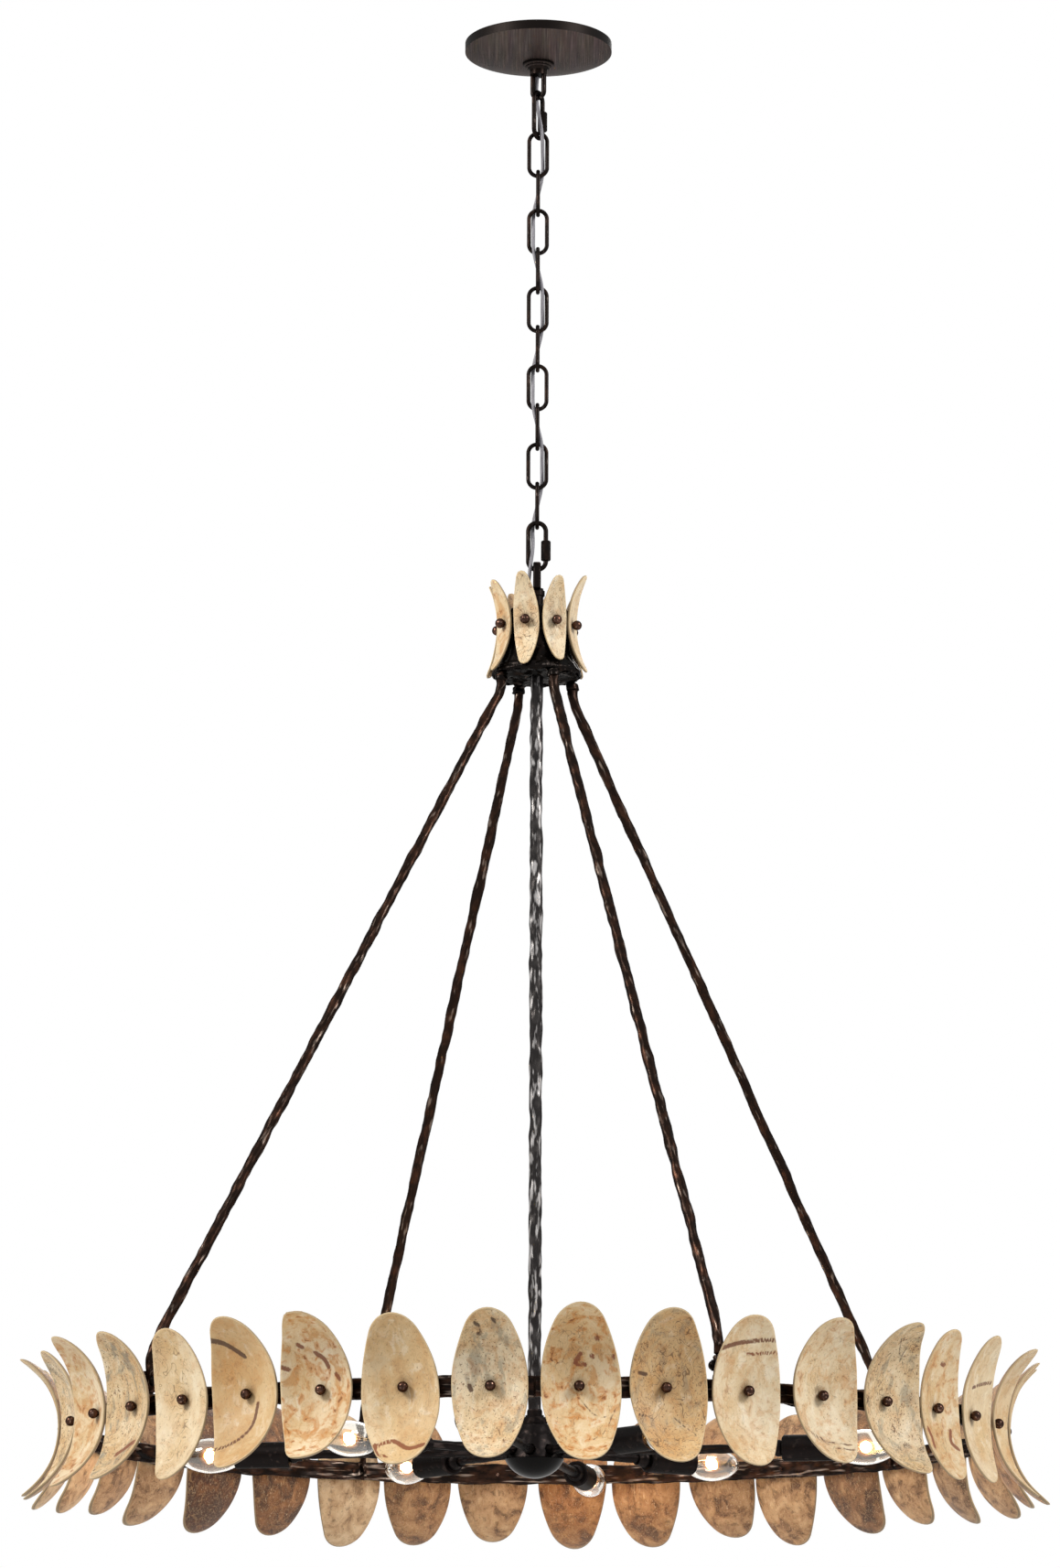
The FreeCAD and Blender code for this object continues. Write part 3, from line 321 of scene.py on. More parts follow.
def add(tree, kind, settings=None):
    # Adds a node. A setting goes to the input of that name or number, or else to the node
    # itself, and "stops" fills a colour ramp. A node or a socket as its value is linked, and an
    # input's text is a colour.
    node = tree.nodes.new("ShaderNode" + kind)
    names = [socket.name for socket in node.inputs]
    for key, value in (settings or {}).items():
        if isinstance(value, bpy.types.Node):
            value = next(socket for socket in value.outputs if socket.enabled)
        if key == "stops":
            ramp = node.color_ramp
            while len(ramp.elements) < len(value):
                ramp.elements.new(1.0)
            for element, (place, colour) in zip(ramp.elements, value):
                element.position = place
                element.color = linear(colour)
        elif not isinstance(key, int) and key not in names:
            setattr(node, key, value)
        elif isinstance(value, bpy.types.NodeSocket):
            tree.links.new(value, node.inputs[key])
        else:
            node.inputs[key].default_value = linear(value) if isinstance(value, str) else value
    return node


def per_size(*sizes):
    # What scales metres so that one unit is this many millimetres
    return [1 / (size * MM) for size in sizes]


def wrought_metal(name, dark, rubbed, worn_grey_and_highlight, lump, stretch, bump, roughness, rub=0.5, bare_and_highlight=0.5,
                  forged=False):
    # Forged or cast iron under a dark patina: broad patches rubbed through to a redder brown,
    # crests between the hammer falls painted grey, partly as bare worn metal and partly as painted
    # highlight streaks, a fine grit that breaks up its highlights, and edges kept dull, as oxide
    # keeps them. A forged piece's marks run along it.
    material, tree = new_material(name)
    if forged:
        place = add(tree, "Attribute", {"attribute_name": "forging_place"}).outputs["Vector"]
    else:
        place = add(tree, "TexCoord").outputs["Object"]
    patterns = []
    for across, along, detail in ((2.2 * lump, 4 * lump, 4.0), (lump, stretch * lump, 2.0),
                                  (1.3, 1.3, 3.0)):
        sized = add(tree, "Mapping", {"Vector": place, "Scale": per_size(across, across, along)})
        patterns.append(add(tree, "TexNoise", {"Vector": sized, "Scale": 1.0, "Detail": detail}))
    patches, lumps, grit = patterns
    rubbing = add(tree, "MapRange", {"Value": patches, "From Min": 0.62 - 0.3 * rub,
                                     "From Max": 0.74})
    brown = add(tree, "Mix", {"data_type": "RGBA", 0: rubbing, 6: dark, 7: rubbed})
    # The grey on the crests is partly worn metal and partly painted highlight
    crest_wear_and_highlight = add(tree, "MapRange", {"Value": lumps, "From Min": 0.7 - 0.24 * bare_and_highlight,
                                      "From Max": 0.84 - 0.24 * bare_and_highlight})
    colour = add(tree, "Mix", {"data_type": "RGBA", 0: crest_wear_and_highlight, 6: brown, 7: worn_grey_and_highlight})
    sheen = add(tree, "MapRange", {"Value": grit, "To Min": roughness - 0.1,
                                   "To Max": roughness + 0.16})
    height = add(tree, "Math", {"operation": "MULTIPLY_ADD", 0: grit, 1: 0.06, 2: lumps})
    dents = add(tree, "Bump", {"Height": height, "Strength": 0.7, "Distance": bump * MM})
    shader = add(tree, "BsdfPrincipled", {
        "Base Color": colour, "Roughness": sheen, "Normal": dents, "Metallic": 0.85,
        "Specular Tint": "9A9692"})
    add(tree, "OutputMaterial", {"Surface": shader})
    return material


def brushed_bronze(name):
    # Steel plate lacquered dark bronze and brushed from front to back: fine hairlines, light
    # and dark, on the flat underside, and painted shade that keeps the turned rim nearly black
    material, tree = new_material(name)
    place = add(tree, "TexCoord").outputs["Object"]
    patterns = []
    for across, along in ((1.1, 60.0), (9.0, 120.0)):
        sized = add(tree, "Mapping", {"Vector": place, "Scale": per_size(across, along, along)})
        patterns.append(add(tree, "TexNoise", {"Vector": sized, "Scale": 1.0, "Detail": 3.0,
                                               "Roughness": 0.7}))
    lines, broad = patterns
    brushed = add(tree, "ValToRGB", {"Fac": lines, "stops": [(0.3, "3A312F"), (0.55, "544A48"),
                                                             (0.75, "726663")]})
    tint = add(tree, "Mix", {"data_type": "RGBA", "blend_type": "MULTIPLY", 0: 0.4, 6: brushed,
                             7: broad.outputs["Color"]})
    heading = add(tree, "SeparateXYZ", {"Vector": add(tree, "NewGeometry").outputs["Normal"]})
    flatness = add(tree, "Math", {"operation": "ABSOLUTE", 0: heading.outputs["Z"]})
    # Painted shade: faces that stand upright, as the turned rim does, are coloured nearly black
    rim_painted_shade = add(tree, "MapRange", {"Value": flatness, "From Min": 0.97, "From Max": 0.6})
    colour = add(tree, "Mix", {"data_type": "RGBA", 0: rim_painted_shade, 6: tint, 7: "120E0D"})
    sheen = add(tree, "MapRange", {"Value": lines, "To Min": 0.36, "To Max": 0.54})
    grain = add(tree, "Bump", {"Height": lines, "Strength": 0.35, "Distance": 0.08 * MM})
    shader = add(tree, "BsdfPrincipled", {
        "Base Color": colour, "Roughness": sheen, "Normal": grain, "Metallic": 0.7,
        "Specular Tint": "8A8682"})
    add(tree, "OutputMaterial", {"Surface": shader})
    return material


def plain_finish(name, light, dark, speck, roughness, metallic, specular=0.5):
    # A smooth finish with a faint mottle and orange peel, such as lacquer, zinc or phenolic
    material, tree = new_material(name)
    place = add(tree, "TexCoord").outputs["Object"]
    sized = add(tree, "Mapping", {"Vector": place, "Scale": per_size(*3 * [speck])})
    mottle = add(tree, "TexNoise", {"Vector": sized, "Scale": 1.0, "Detail": 3.0})
    colour = add(tree, "ValToRGB", {"Fac": mottle, "stops": [(0.35, dark), (0.65, light)]})
    sheen = add(tree, "MapRange", {"Value": mottle, "To Min": roughness - 0.06,
                                   "To Max": roughness + 0.08})
    peel = add(tree, "Bump", {"Height": mottle, "Strength": 0.3, "Distance": 0.05 * MM})
    shader = add(tree, "BsdfPrincipled", {
        "Base Color": colour, "Roughness": sheen, "Normal": peel, "Metallic": metallic,
        "Specular IOR Level": specular})
    add(tree, "OutputMaterial", {"Surface": shader})
    return material


def coconut_shell_material(name):
    # Coconut shell ground and polished: the hollow side cream to ochre with rust spots, grey
    # smudges and hairline scratches, the back browner with pale fibres, a pale cut rim with
    # the back's dark skin along it, and a dark ring round the screw, partly stain and partly
    # painted shade where the ball nut sits. Each piece's own looks say how much of each it has.
    material, tree = new_material(name)
    read = {kept: add(tree, "Attribute", {"attribute_name": kept})
            for kept in ("grain_place", "shell_looks", "back_darkness", "shell_back", "shell_rim",
                         "screw_distance", "streak_distance", "streak_redness")}
    warmth, spotting, smudging = add(tree, "SeparateColor",
                                     {"Color": read["shell_looks"].outputs["Color"]}).outputs
    scratching = read["shell_looks"].outputs["Alpha"]

    patterns = {}
    for title, across, along, detail, roughness, distortion in (
            ("drift", 46.0, 60.0, 2.0, 0.55, 0.0), ("cloud", 15.0, 20.0, 4.0, 0.62, 0.6),
            ("smudge", 12.0, 30.0, 4.0, 0.62, 0.5), ("blotch", 8.5, 10.5, 3.0, 0.58, 0.5),
            ("speck", 1.8, 2.3, 2.0, 0.5, 0.3), ("pore", 0.9, 1.2, 2.0, 0.5, 0.0),
            ("fibre", 1.3, 26.0, 3.0, 0.6, 1.2), ("hair", 13.0, 20.0, 1.0, 0.5, 1.5),
            ("nick", 6.0, 8.0, 1.0, 0.5, 1.0)):
        sized = add(tree, "Mapping", {"Vector": read["grain_place"].outputs["Vector"],
                                      "Scale": per_size(across, across, along)})
        patterns[title] = add(tree, "TexNoise", {"Vector": sized, "Scale": 1.0, "Detail": detail,
                                                 "Roughness": roughness,
                                                 "Distortion": distortion})

    # Cream to ochre by the piece's warmth, which drifts across it; the back by its darkness
    drifting, clouding = [
        add(tree, "MapRange", {"Value": patterns[title], "From Min": 0.3, "From Max": 0.7,
                               "To Min": -0.3, "To Max": 0.3}) for title in ("drift", "cloud")]
    mellow = add(tree, "Math", {"operation": "MULTIPLY_ADD", "use_clamp": True, 0: warmth, 1: 1.1,
                                2: drifting})
    hollow = add(tree, "ValToRGB", {"Fac": mellow, "stops": [(0.0, "E0CFB0"), (0.5, "D2B68A"),
                                                             (1.0, "BF9662")]})
    deepness = add(tree, "Math", {"operation": "ADD", "use_clamp": True,
                                  0: read["back_darkness"].outputs["Fac"], 1: clouding})
    grey_back, warm_back = [
        add(tree, "ValToRGB", {"Fac": deepness, "stops": [*zip((0.0, 0.35, 0.65, 1.0), shades)]})
        for shades in (("CBB697", "A98E6E", "7B6048", "3C281B"),
                       ("C8A273", "AA7B4C", "80512B", "402313"))]
    back = add(tree, "Mix", {"data_type": "RGBA", 0: warmth, 6: grey_back, 7: warm_back})

    # Layers laid over each side: its colour, its pattern, where that starts and is full, how
    # strong it is and what else it hangs on
    patching = add(tree, "Math", {"operation": "MULTIPLY_ADD", 0: spotting, 1: 0.65, 2: 0.2})
    soiling = add(tree, "Math", {"operation": "MULTIPLY_ADD", 0: smudging, 1: 0.8, 2: 0.3})
    paling = add(tree, "Math", {"operation": "MULTIPLY_ADD", 0: warmth, 1: -0.85, 2: 1.0})
    sides = {"hollow": hollow, "back": back}
    for side, title, shade, start, full, strength, amount in (
            ("hollow", "cloud", "E8DCC4", 0.47, 0.33, 0.75, paling),
            ("hollow", "cloud", "BF8A4E", 0.50, 0.63, 0.9, patching),
            ("hollow", "smudge", "73756D", 0.49, 0.66, 0.85, smudging),
            ("hollow", "blotch", "C0803F", 0.50, 0.64, 0.75, spotting),
            ("hollow", "blotch", "74401F", 0.63, 0.70, 0.85, spotting),
            ("hollow", "speck", "453628", 0.60, 0.67, 0.9, smudging),
            ("hollow", "speck", "7E5433", 0.64, 0.70, 0.8, soiling),
            ("hollow", "pore", "866A48", 0.60, 0.72, 0.6, soiling),
            ("hollow", "fibre", "98744A", 0.56, 0.70, 0.5, soiling),
            ("back", "cloud", "3F2A1D", 0.50, 0.66, 0.85, deepness),
            ("back", "blotch", "4A3527", 0.57, 0.68, 0.5, 1.0),
            ("back", "fibre", "E0C69C", 0.58, 0.70, 0.5, 1.0),
            ("back", "speck", "33241A", 0.62, 0.69, 0.5, 1.0),
            ("back", "pore", "D0B083", 0.62, 0.72, 0.45, 1.0)):
        reached = add(tree, "MapRange", {"interpolation_type": "SMOOTHSTEP", "From Min": start,
                                         "From Max": full, "To Max": strength,
                                         "Value": patterns[title]})
        cover = add(tree, "Math", {"operation": "MULTIPLY", 0: reached, 1: amount})
        sides[side] = add(tree, "Mix", {"data_type": "RGBA", 0: cover, 6: sides[side], 7: shade})
    hollow, back = sides["hollow"], sides["back"]

    # Hairline scratches, where a slow noise crosses its middle value on part of the piece
    scratches = []
    for title, gate in (("hair", "drift"), ("nick", "cloud")):
        off = add(tree, "Math", {"operation": "SUBTRACT", 0: patterns[title], 1: 0.5})
        off = add(tree, "Math", {"operation": "ABSOLUTE", 0: off})
        line = add(tree, "MapRange", {"interpolation_type": "SMOOTHSTEP", "Value": off,
                                      "From Min": 0.018, "From Max": 0.005})
        part = add(tree, "MapRange", {"interpolation_type": "SMOOTHSTEP", "From Min": 0.46,
                                      "From Max": 0.56, "Value": patterns[gate]})
        line = add(tree, "Math", {"operation": "MULTIPLY", 0: line, 1: part})
        scratches.append(add(tree, "Math", {"operation": "MULTIPLY", 0: line, 1: scratching}))
    scratch = add(tree, "Math", {"operation": "MAXIMUM", 0: scratches[0], 1: scratches[1]})
    hollow = add(tree, "Mix", {"data_type": "RGBA", 0: scratch, 6: hollow, 7: "5F4631"})
    back = add(tree, "Mix", {"data_type": "RGBA", 0: scratch, 6: back, 7: "BC9467"})

    # Streaks and curved cracks, whose edges wander with the specks
    wander = add(tree, "Math", {"operation": "MULTIPLY_ADD", 0: patterns["speck"], 1: 1.6,
                                2: read["streak_distance"].outputs["Fac"]})
    stroke = add(tree, "MapRange", {"interpolation_type": "SMOOTHSTEP", "Value": wander,
                                    "From Min": 2.3, "From Max": 1.2, "To Max": 0.9})
    stroke_shade = add(tree, "Mix", {"data_type": "RGBA", 6: "3B291E", 7: "7E3F22",
                                     0: read["streak_redness"].outputs["Fac"]})
    hollow = add(tree, "Mix", {"data_type": "RGBA", 0: stroke, 6: hollow, 7: stroke_shade})

    # Darkening round the screw: partly a stain crept out from it, partly painted shade where the
    # ball nut sits
    near = add(tree, "MapRange", {"interpolation_type": "SMOOTHSTEP", "From Min": 12.0,
                                  "From Max": 4.0, "To Max": 0.55,
                                  "Value": read["screw_distance"].outputs["Fac"]})
    uneven = add(tree, "MapRange", {"Value": patterns["cloud"], "From Min": 0.35, "From Max": 0.6})
    stain_and_nut_shade = add(tree, "Math", {"operation": "MULTIPLY", 0: near, 1: uneven})
    hollow = add(tree, "Mix", {"data_type": "RGBA", 0: stain_and_nut_shade, 6: hollow, 7: "6B5136"})

    # Rim: the cut shows pale, and the back's skin stays dark along it
    backing = read["shell_back"].outputs["Fac"]
    colour = add(tree, "Mix", {"data_type": "RGBA", 0: backing, 6: hollow, 7: back})
    cut = add(tree, "MapRange", {"From Min": 0.7, "From Max": 1.0, "To Max": 0.75,
                                 "Value": read["shell_rim"].outputs["Fac"]})
    colour = add(tree, "Mix", {"data_type": "RGBA", 0: cut, 6: colour, 7: "D9C298"})
    skin = add(tree, "MapRange", {"Value": backing, "From Min": 0.3, "From Max": 0.6})
    skin = add(tree, "Math", {"operation": "MULTIPLY", 0: skin, 1: cut})
    colour = add(tree, "Mix", {"data_type": "RGBA", 0: skin, 6: colour, 7: "4A3425"})

    # Its swells, its dips where it is cracked or scratched, and its uneven polish
    relief = patterns["cloud"]
    for part, depth in ((patterns["blotch"], 0.35), (patterns["speck"], 0.2), (stroke, -0.9),
                        (scratch, -0.4)):
        relief = add(tree, "Math", {"operation": "MULTIPLY_ADD", 0: part, 1: depth, 2: relief})
    wear = add(tree, "Bump", {"Height": relief, "Strength": 0.5, "Distance": 0.45 * MM})
    sheen = add(tree, "MapRange", {"Value": patterns["blotch"], "To Min": 0.44, "To Max": 0.66})
    shader = add(tree, "BsdfPrincipled", {
        "Base Color": colour, "Roughness": sheen, "Normal": wear, "IOR": 1.5,
        "Specular IOR Level": 0.35})
    add(tree, "OutputMaterial", {"Surface": shader})
    return material


def clear_glass(name):
    # Thin blown soda glass: clear, with a rim that shows, and light passes it without a shadow
    material, tree = new_material(name)
    glass = add(tree, "BsdfPrincipled", {"Base Color": "FBF8F2", "Roughness": 0.02, "IOR": 1.5,
                                         "Transmission Weight": 1.0})
    clear = add(tree, "BsdfTransparent", {"Color": "F7F1E6"})
    passing = add(tree, "LightPath")
    unseen = add(tree, "Math", {"operation": "MAXIMUM", 0: passing.outputs["Is Shadow Ray"],
                                1: passing.outputs["Is Diffuse Ray"]})
    mixed = add(tree, "MixShader", {0: unseen, 1: glass, 2: clear})
    add(tree, "OutputMaterial", {"Surface": mixed})
    return material


def glowing(name, shade, strength):
    # Tungsten wire at white heat, a little uneven along its coil
    material, tree = new_material(name)
    place = add(tree, "TexCoord").outputs["Object"]
    sized = add(tree, "Mapping", {"Vector": place, "Scale": per_size(*3 * [coil_pitch])})
    uneven = add(tree, "TexNoise", {"Vector": sized, "Scale": 1.0})
    level = add(tree, "MapRange", {"Value": uneven, "To Min": 0.8 * strength,
                                   "To Max": 1.2 * strength})
    light = add(tree, "Emission", {"Color": shade, "Strength": level})
    add(tree, "OutputMaterial", {"Surface": light})
    return material


def lit_gas(name, shade, strength):
    # A painted glow: the bulb's gas fill made to shine warm round the filament, fading to nothing
    # at its glass
    material, tree = new_material(name)
    middle = add(tree, "VectorMath", {"operation": "MULTIPLY_ADD", 1: (2.0, 2.0, 2.0),
                                      2: (-1.0, -1.0, -1.0),
                                      0: add(tree, "TexCoord").outputs["Generated"]})
    away = add(tree, "VectorMath", {"operation": "LENGTH", 0: middle})
    near = add(tree, "MapRange", {"Value": away.outputs["Value"], "From Min": 1.0, "From Max": 0.0})
    fall = add(tree, "Math", {"operation": "POWER", 0: near, 1: 2.5})
    level = add(tree, "Math", {"operation": "MULTIPLY", 0: fall, 1: strength})
    light = add(tree, "Emission", {"Color": shade, "Strength": level})
    add(tree, "OutputMaterial", {"Volume": light})
    return material


def woven_sleeve(name):
    # Silver grey sleeve of the lead: crossing threads under a satin skin, with painted light and
    # shade in darker and lighter stretches every couple of centimetres, as if it turned to the
    # light
    material, tree = new_material(name)
    place = add(tree, "Attribute", {"attribute_name": "sleeve_place"}).outputs["Vector"]
    weaves = []
    for lean in (1, -1):
        laid = add(tree, "Mapping", {"Vector": place, "Scale": per_size(*3 * [thread_spacing]),
                                     "Rotation": (0, 0, lean * thread_lean)})
        weaves.append(add(tree, "TexWave", {"Vector": laid, "Scale": one_wave,
                                            "Distortion": 0.4}))
    top = add(tree, "Math", {"operation": "MAXIMUM", 0: weaves[0].outputs["Fac"],
                             1: weaves[1].outputs["Fac"]})
    # Painted light and shade: slow noise that lightens and darkens stretches of the sleeve
    sized = add(tree, "Mapping", {"Vector": place, "Scale": per_size(6.0, 22.0, 6.0)})
    stretch = add(tree, "TexNoise", {"Vector": sized, "Scale": 1.0, "Detail": 2.0})
    weave_and_painted_light = add(tree, "Math", {"operation": "MULTIPLY_ADD", 0: top, 1: 0.12, 2: stretch})
    colour = add(tree, "ValToRGB", {"Fac": weave_and_painted_light, "stops": [(0.35, "57565C"), (0.8, "8E8D95")]})
    relief = add(tree, "Bump", {"Height": top, "Strength": 0.2, "Distance": 0.08 * MM})
    shader = add(tree, "BsdfPrincipled", {"Base Color": colour, "Normal": relief,
                                          "Roughness": 0.5})
    add(tree, "OutputMaterial", {"Surface": shader})
    return material


hammered_bronze = wrought_metal("hammered_blackened_bronze", "1D1410", "3B261C", "75685F", 3.6,
                                5.0, 0.6, 0.3, bare_and_highlight=0.42, forged=True)
hammered_steel = wrought_metal("hammered_grey_steel_stem", "2C2A2A", "454241", "B4B1B0", 3.6, 4.5,
                               0.8, 0.28, bare_and_highlight=0.72, forged=True)
hoop_bronze = wrought_metal("hammered_hoop_bronze", "15100E", "3C281E", "82746A", 3.4, 8.0, 0.9,
                            0.34, rub=0.6, bare_and_highlight=0.5, forged=True)
chain_iron = wrought_metal("blackened_chain_iron", "151110", "2B1F1A", "4C4441", 5.0, 2.0, 0.15,
                           0.32, rub=0.4, bare_and_highlight=0.3)
cast_iron = wrought_metal("cast_blackened_iron", "110E0D", "221813", "4E4642", 6.0, 1.5, 0.8, 0.26,
                          rub=0.3, bare_and_highlight=0.3)
lamp_black = wrought_metal("satin_black_lamp_iron", "141111", "1F1816", "2E2725", 7.0, 1.0, 0.12,
                           0.40, rub=0.2)
arm_black = wrought_metal("forged_black_lamp_arms", "141111", "231A17", "3A3230", 4.0, 4.0, 0.5,
                          0.34, rub=0.4, forged=True)
ball_bronze = wrought_metal("polished_dark_bronze_balls", "33231D", "5A3F33", "8E7365", 2.5, 1.0,
                            0.08, 0.22)
bowl_black = plain_finish("gloss_black_enamelled_bowl", "0B0909", "060505", 14.0, 0.2, 0.0, 0.05)
canopy_bronze = brushed_bronze("brushed_dark_bronze_canopy")
zinc_steel = plain_finish("zinc_plated_steel", "B9BBBC", "8F9294", 5.0, 0.36, 0.9)
phenolic = plain_finish("black_phenolic_socket", "2B2725", "1B1817", 2.0, 0.55, 0.0)
brass_screw = plain_finish("nickelled_brass_cap", "C9BFA8", "9C8E70", 3.0, 0.28, 0.95)
shell_material = coconut_shell_material("polished_coconut_shell")
bulb_glass = clear_glass("clear_bulb_glass")
filament_glow = glowing("white_hot_filament", "FFDCA0", 160.0)
# Painted glow of the gas round each filament
gas_painted_glow = lit_gas("lit_gas_fill", "FFA048", 420.0)
support_wire = plain_finish("nickel_lead_wire", "B8B4AC", "8A867E", 1.0, 0.3, 0.9)
sleeve = woven_sleeve("silver_woven_sleeve")

chain_links = ["chain_link_" + str(number).zfill(2) for number in range(1, 11)]
for finish, slot, nodes in (
        (zinc_steel, "plated_steel", ["ceiling_crossbar", "canopy_nipple", "nipple_locknut"]),
        (canopy_bronze, "canopy_bronze", ["canopy_plate", "canopy_collar"]),
        (chain_iron, "dark_iron", ["canopy_loop", "quick_link_top", "quick_link_top_nut",
                                   "quick_link_bottom", "quick_link_bottom_nut", "hub_eye",
                                   "hub_eye_nut"] + chain_links),
        (cast_iron, "dark_iron", ["hub_casting", "hub_base", "hub_base_screws",
                                  "rod_foot_screws", "rod_foot_nuts"]),
        (ball_bronze, "ball_bronze", ["hub_petal_nuts", "ring_shell_nuts"]),
        (lamp_black, "black_iron", ["stem_cap", "arm_couplings", "socket_cups_long",
                                    "socket_cups_short"]),
        (bowl_black, "black_iron", ["lamp_bowl"]),
        (phenolic, "socket_insulator", ["lamp_sockets"])):
    for node in nodes:
        solid = frame["nodes"][node]
        solid.data.materials.clear()
        solid.data.materials.append(finish)


# Camera, light and backdrop


def make_camera():
    data = bpy.data.cameras.new("camera")
    data.sensor_width = sensor_height
    data.lens = focal_pixels / image_height * sensor_height
    data.shift_x = (image_width / 2 - optical_axis_x) / image_height
    data.clip_start = nearest_seen * MM
    data.clip_end = farthest_seen * MM
    camera = placed("camera", data)
    place = Matrix.Translation(Vector((0, -camera_distance, camera_height)) * MM)
    tilt = Matrix.Rotation(math.radians(90 + camera_pitch), 4, "X")
    camera.matrix_world = place @ tilt @ Matrix.Rotation(math.radians(camera_roll), 4, "Z")
    bpy.context.scene.camera = camera


def soft_lamp(name, place, size, power, colour):
    # A round lamp aimed a little above the ring
    data = bpy.data.lights.new(name, "AREA")
    data.shape = "DISK"
    data.size = size * MM
    data.energy = power
    data.color = linear(colour)[:3]
    lamp = placed(name, data)
    lamp.location = Vector(place) * MM
    lamp.rotation_mode = "QUATERNION"
    lamp.rotation_quaternion = (Vector(lit_place) - Vector(place)).to_track_quat("-Z", "Y")


def seen_straight(tree):
    # 1 where the eye sees a surface itself, in a reflection or through glass
    path = add(tree, "LightPath")
    seen = path.outputs["Is Camera Ray"]
    for ray in ("Is Transmission Ray", "Is Glossy Ray"):
        seen = add(tree, "Math", {"operation": "MAXIMUM", 0: seen, 1: path.outputs[ray]})
    return seen


def make_light():
    scene = bpy.context.scene
    scene.view_settings.view_transform = "Standard"
    world = bpy.data.worlds.new("studio")
    scene.world = world
    world.use_nodes = True
    tree = world.node_tree
    tree.nodes.clear()
    dim = add(tree, "Background", {"Color": "FFFFFF", "Strength": room_glow})
    white = add(tree, "Background", {"Color": "FFFFFF", "Strength": 1.0})
    mixed = add(tree, "MixShader", {0: seen_straight(tree), 1: dim, 2: white})
    add(tree, "OutputWorld", {"Surface": mixed})
    soft_lamp("left_key", (-3300, -2000, 1300), 1600, 165, "FFFAF2")
    soft_lamp("right_key", (3300, -2000, 1300), 1600, 140, "FFFCF8")
    soft_lamp("back", (600, 3600, 1600), 2200, 60, "FFFFFF")


def make_floor():
    material, tree = new_material("pale_studio_floor")
    level = add(tree, "Math", {"operation": "MULTIPLY", 0: seen_straight(tree), 1: floor_glow})
    matt = add(tree, "BsdfDiffuse", {"Color": "F1F0EE"})
    white = add(tree, "Emission", {"Color": "FFFFFF", "Strength": level})
    lit = add(tree, "AddShader", {0: matt, 1: white})
    # From below, the fixture is seen through the floor
    clear = add(tree, "BsdfTransparent")
    below = add(tree, "NewGeometry").outputs["Backfacing"]
    mixed = add(tree, "MixShader", {0: below, 1: lit, 2: clear})
    add(tree, "OutputMaterial", {"Surface": mixed})
    half = floor_size / 2
    corners = [(x * half, y * half, floor_level) for x, y in ((-1, -1), (1, -1), (1, 1), (-1, 1))]
    mesh = mesh_of("floor", corners, [(0, 1, 2, 3)])
    mesh.materials.append(material)
    placed("floor", mesh)


make_camera()
make_light()
make_floor()


# Cord

# It is woven round the chain, and the points of its route are those of the part's source
link_pitch = 41.7
link_bearing = 23.1
link_centres = [-120.6 - link_pitch * number for number in range(10)]
top_link_centre = -77.7
low_link_centre = -538.8
chain_joints = [-58.45, -102.3] + [centre - link_bearing for centre in link_centres] + [-563.4]
cord_radius = 1.9
cord_sides = 14
cord_steps = 12
tucked_rings = 2
tucked_share = 0.8


def cord_route():
    # Down the canopy's loop, in and out of each link, and into the hub
    points = [(0, 0, 0), (0.2, -0.9, -22.0), (-1.5, 9.0, -38.0), (-2.3, 7.8, -55.8),
              (0.6, -0.6, top_link_centre), (4.2, -5.8, -100.05)]
    for number, centre in enumerate(link_centres):
        spin = rotation("Z", 90 * number)
        points.append(tuple(spin @ np.array([4.7, 0, centre])))
        points.append(tuple(spin @ np.array([5.0, 5.0, centre - link_pitch / 2])))
    return points + [(-3.8, -0.2, low_link_centre), (-6.8, -5.3, -560.5), (-8.8, -6.6, -582.75),
                     (-9.6, -7.4, hub_top), (-9.0, -7.0, -620.35)]


def route_line(points):
    # The smooth curve that the points of a route steer
    data = bpy.data.curves.new("cord_route", "CURVE")
    data.dimensions = "3D"
    data.resolution_u = cord_steps
    spline = data.splines.new("NURBS")
    spline.points.add(len(points) - 1)
    for spot, point in zip(spline.points, points):
        spot.co = (*(MM * c for c in point), 1.0)
    spline.order_u = 3
    spline.use_endpoint_u = True
    route = bpy.data.objects.new("cord_route", data)
    mesh = bpy.data.meshes.new_from_object(route)
    line = [np.array(vertex.co) / MM for vertex in mesh.vertices]
    bpy.data.objects.remove(route)
    return line


def make_cord():
    # The chain bends it, so it is cut at each joint. Each length rides on one link, and its
    # lower end goes on a little, thinner, inside the next length
    line = route_line(cord_route())
    bodies = (["ceiling_group", "quick_link_top"]
              + ["link_" + str(number).zfill(2) for number in range(1, 11)]
              + ["quick_link_bottom", "fixture"])
    heights = np.array([point[2] for point in line])
    cuts = [0] + [int(np.argmin(abs(heights - joint))) for joint in chain_joints]
    cuts.append(len(line) - 1)
    runs = np.concatenate([[0], np.cumsum(np.linalg.norm(np.diff(line, axis=0), axis=1))])
    girth = [2 * math.pi * cord_radius * side / cord_sides for side in range(cord_sides)]
    for place, body in enumerate(bodies):
        first, cut = cuts[place], cuts[place + 1]
        part = line[first:cut + tucked_rings + 1]
        points, faces = sweep(part, cord_radius, cord_sides)
        for ring in range(cut - first + 1, len(part)):
            for spot in range(ring * cord_sides, (ring + 1) * cord_sides):
                points[spot] = part[ring] + tucked_share * (points[spot] - part[ring])
        mesh = mesh_of("cord_" + str(place + 1).zfill(2), points, faces)
        spots = [(around, runs[first + step], 0) for step in range(len(part)) for around in girth]
        keep_values(mesh, {"sleeve_place": np.array(spots) * MM})
        piece_of(mesh, sleeve, body, ("cord",) if place == 0 else ())


make_cord()


# Coconut shell discs and petals

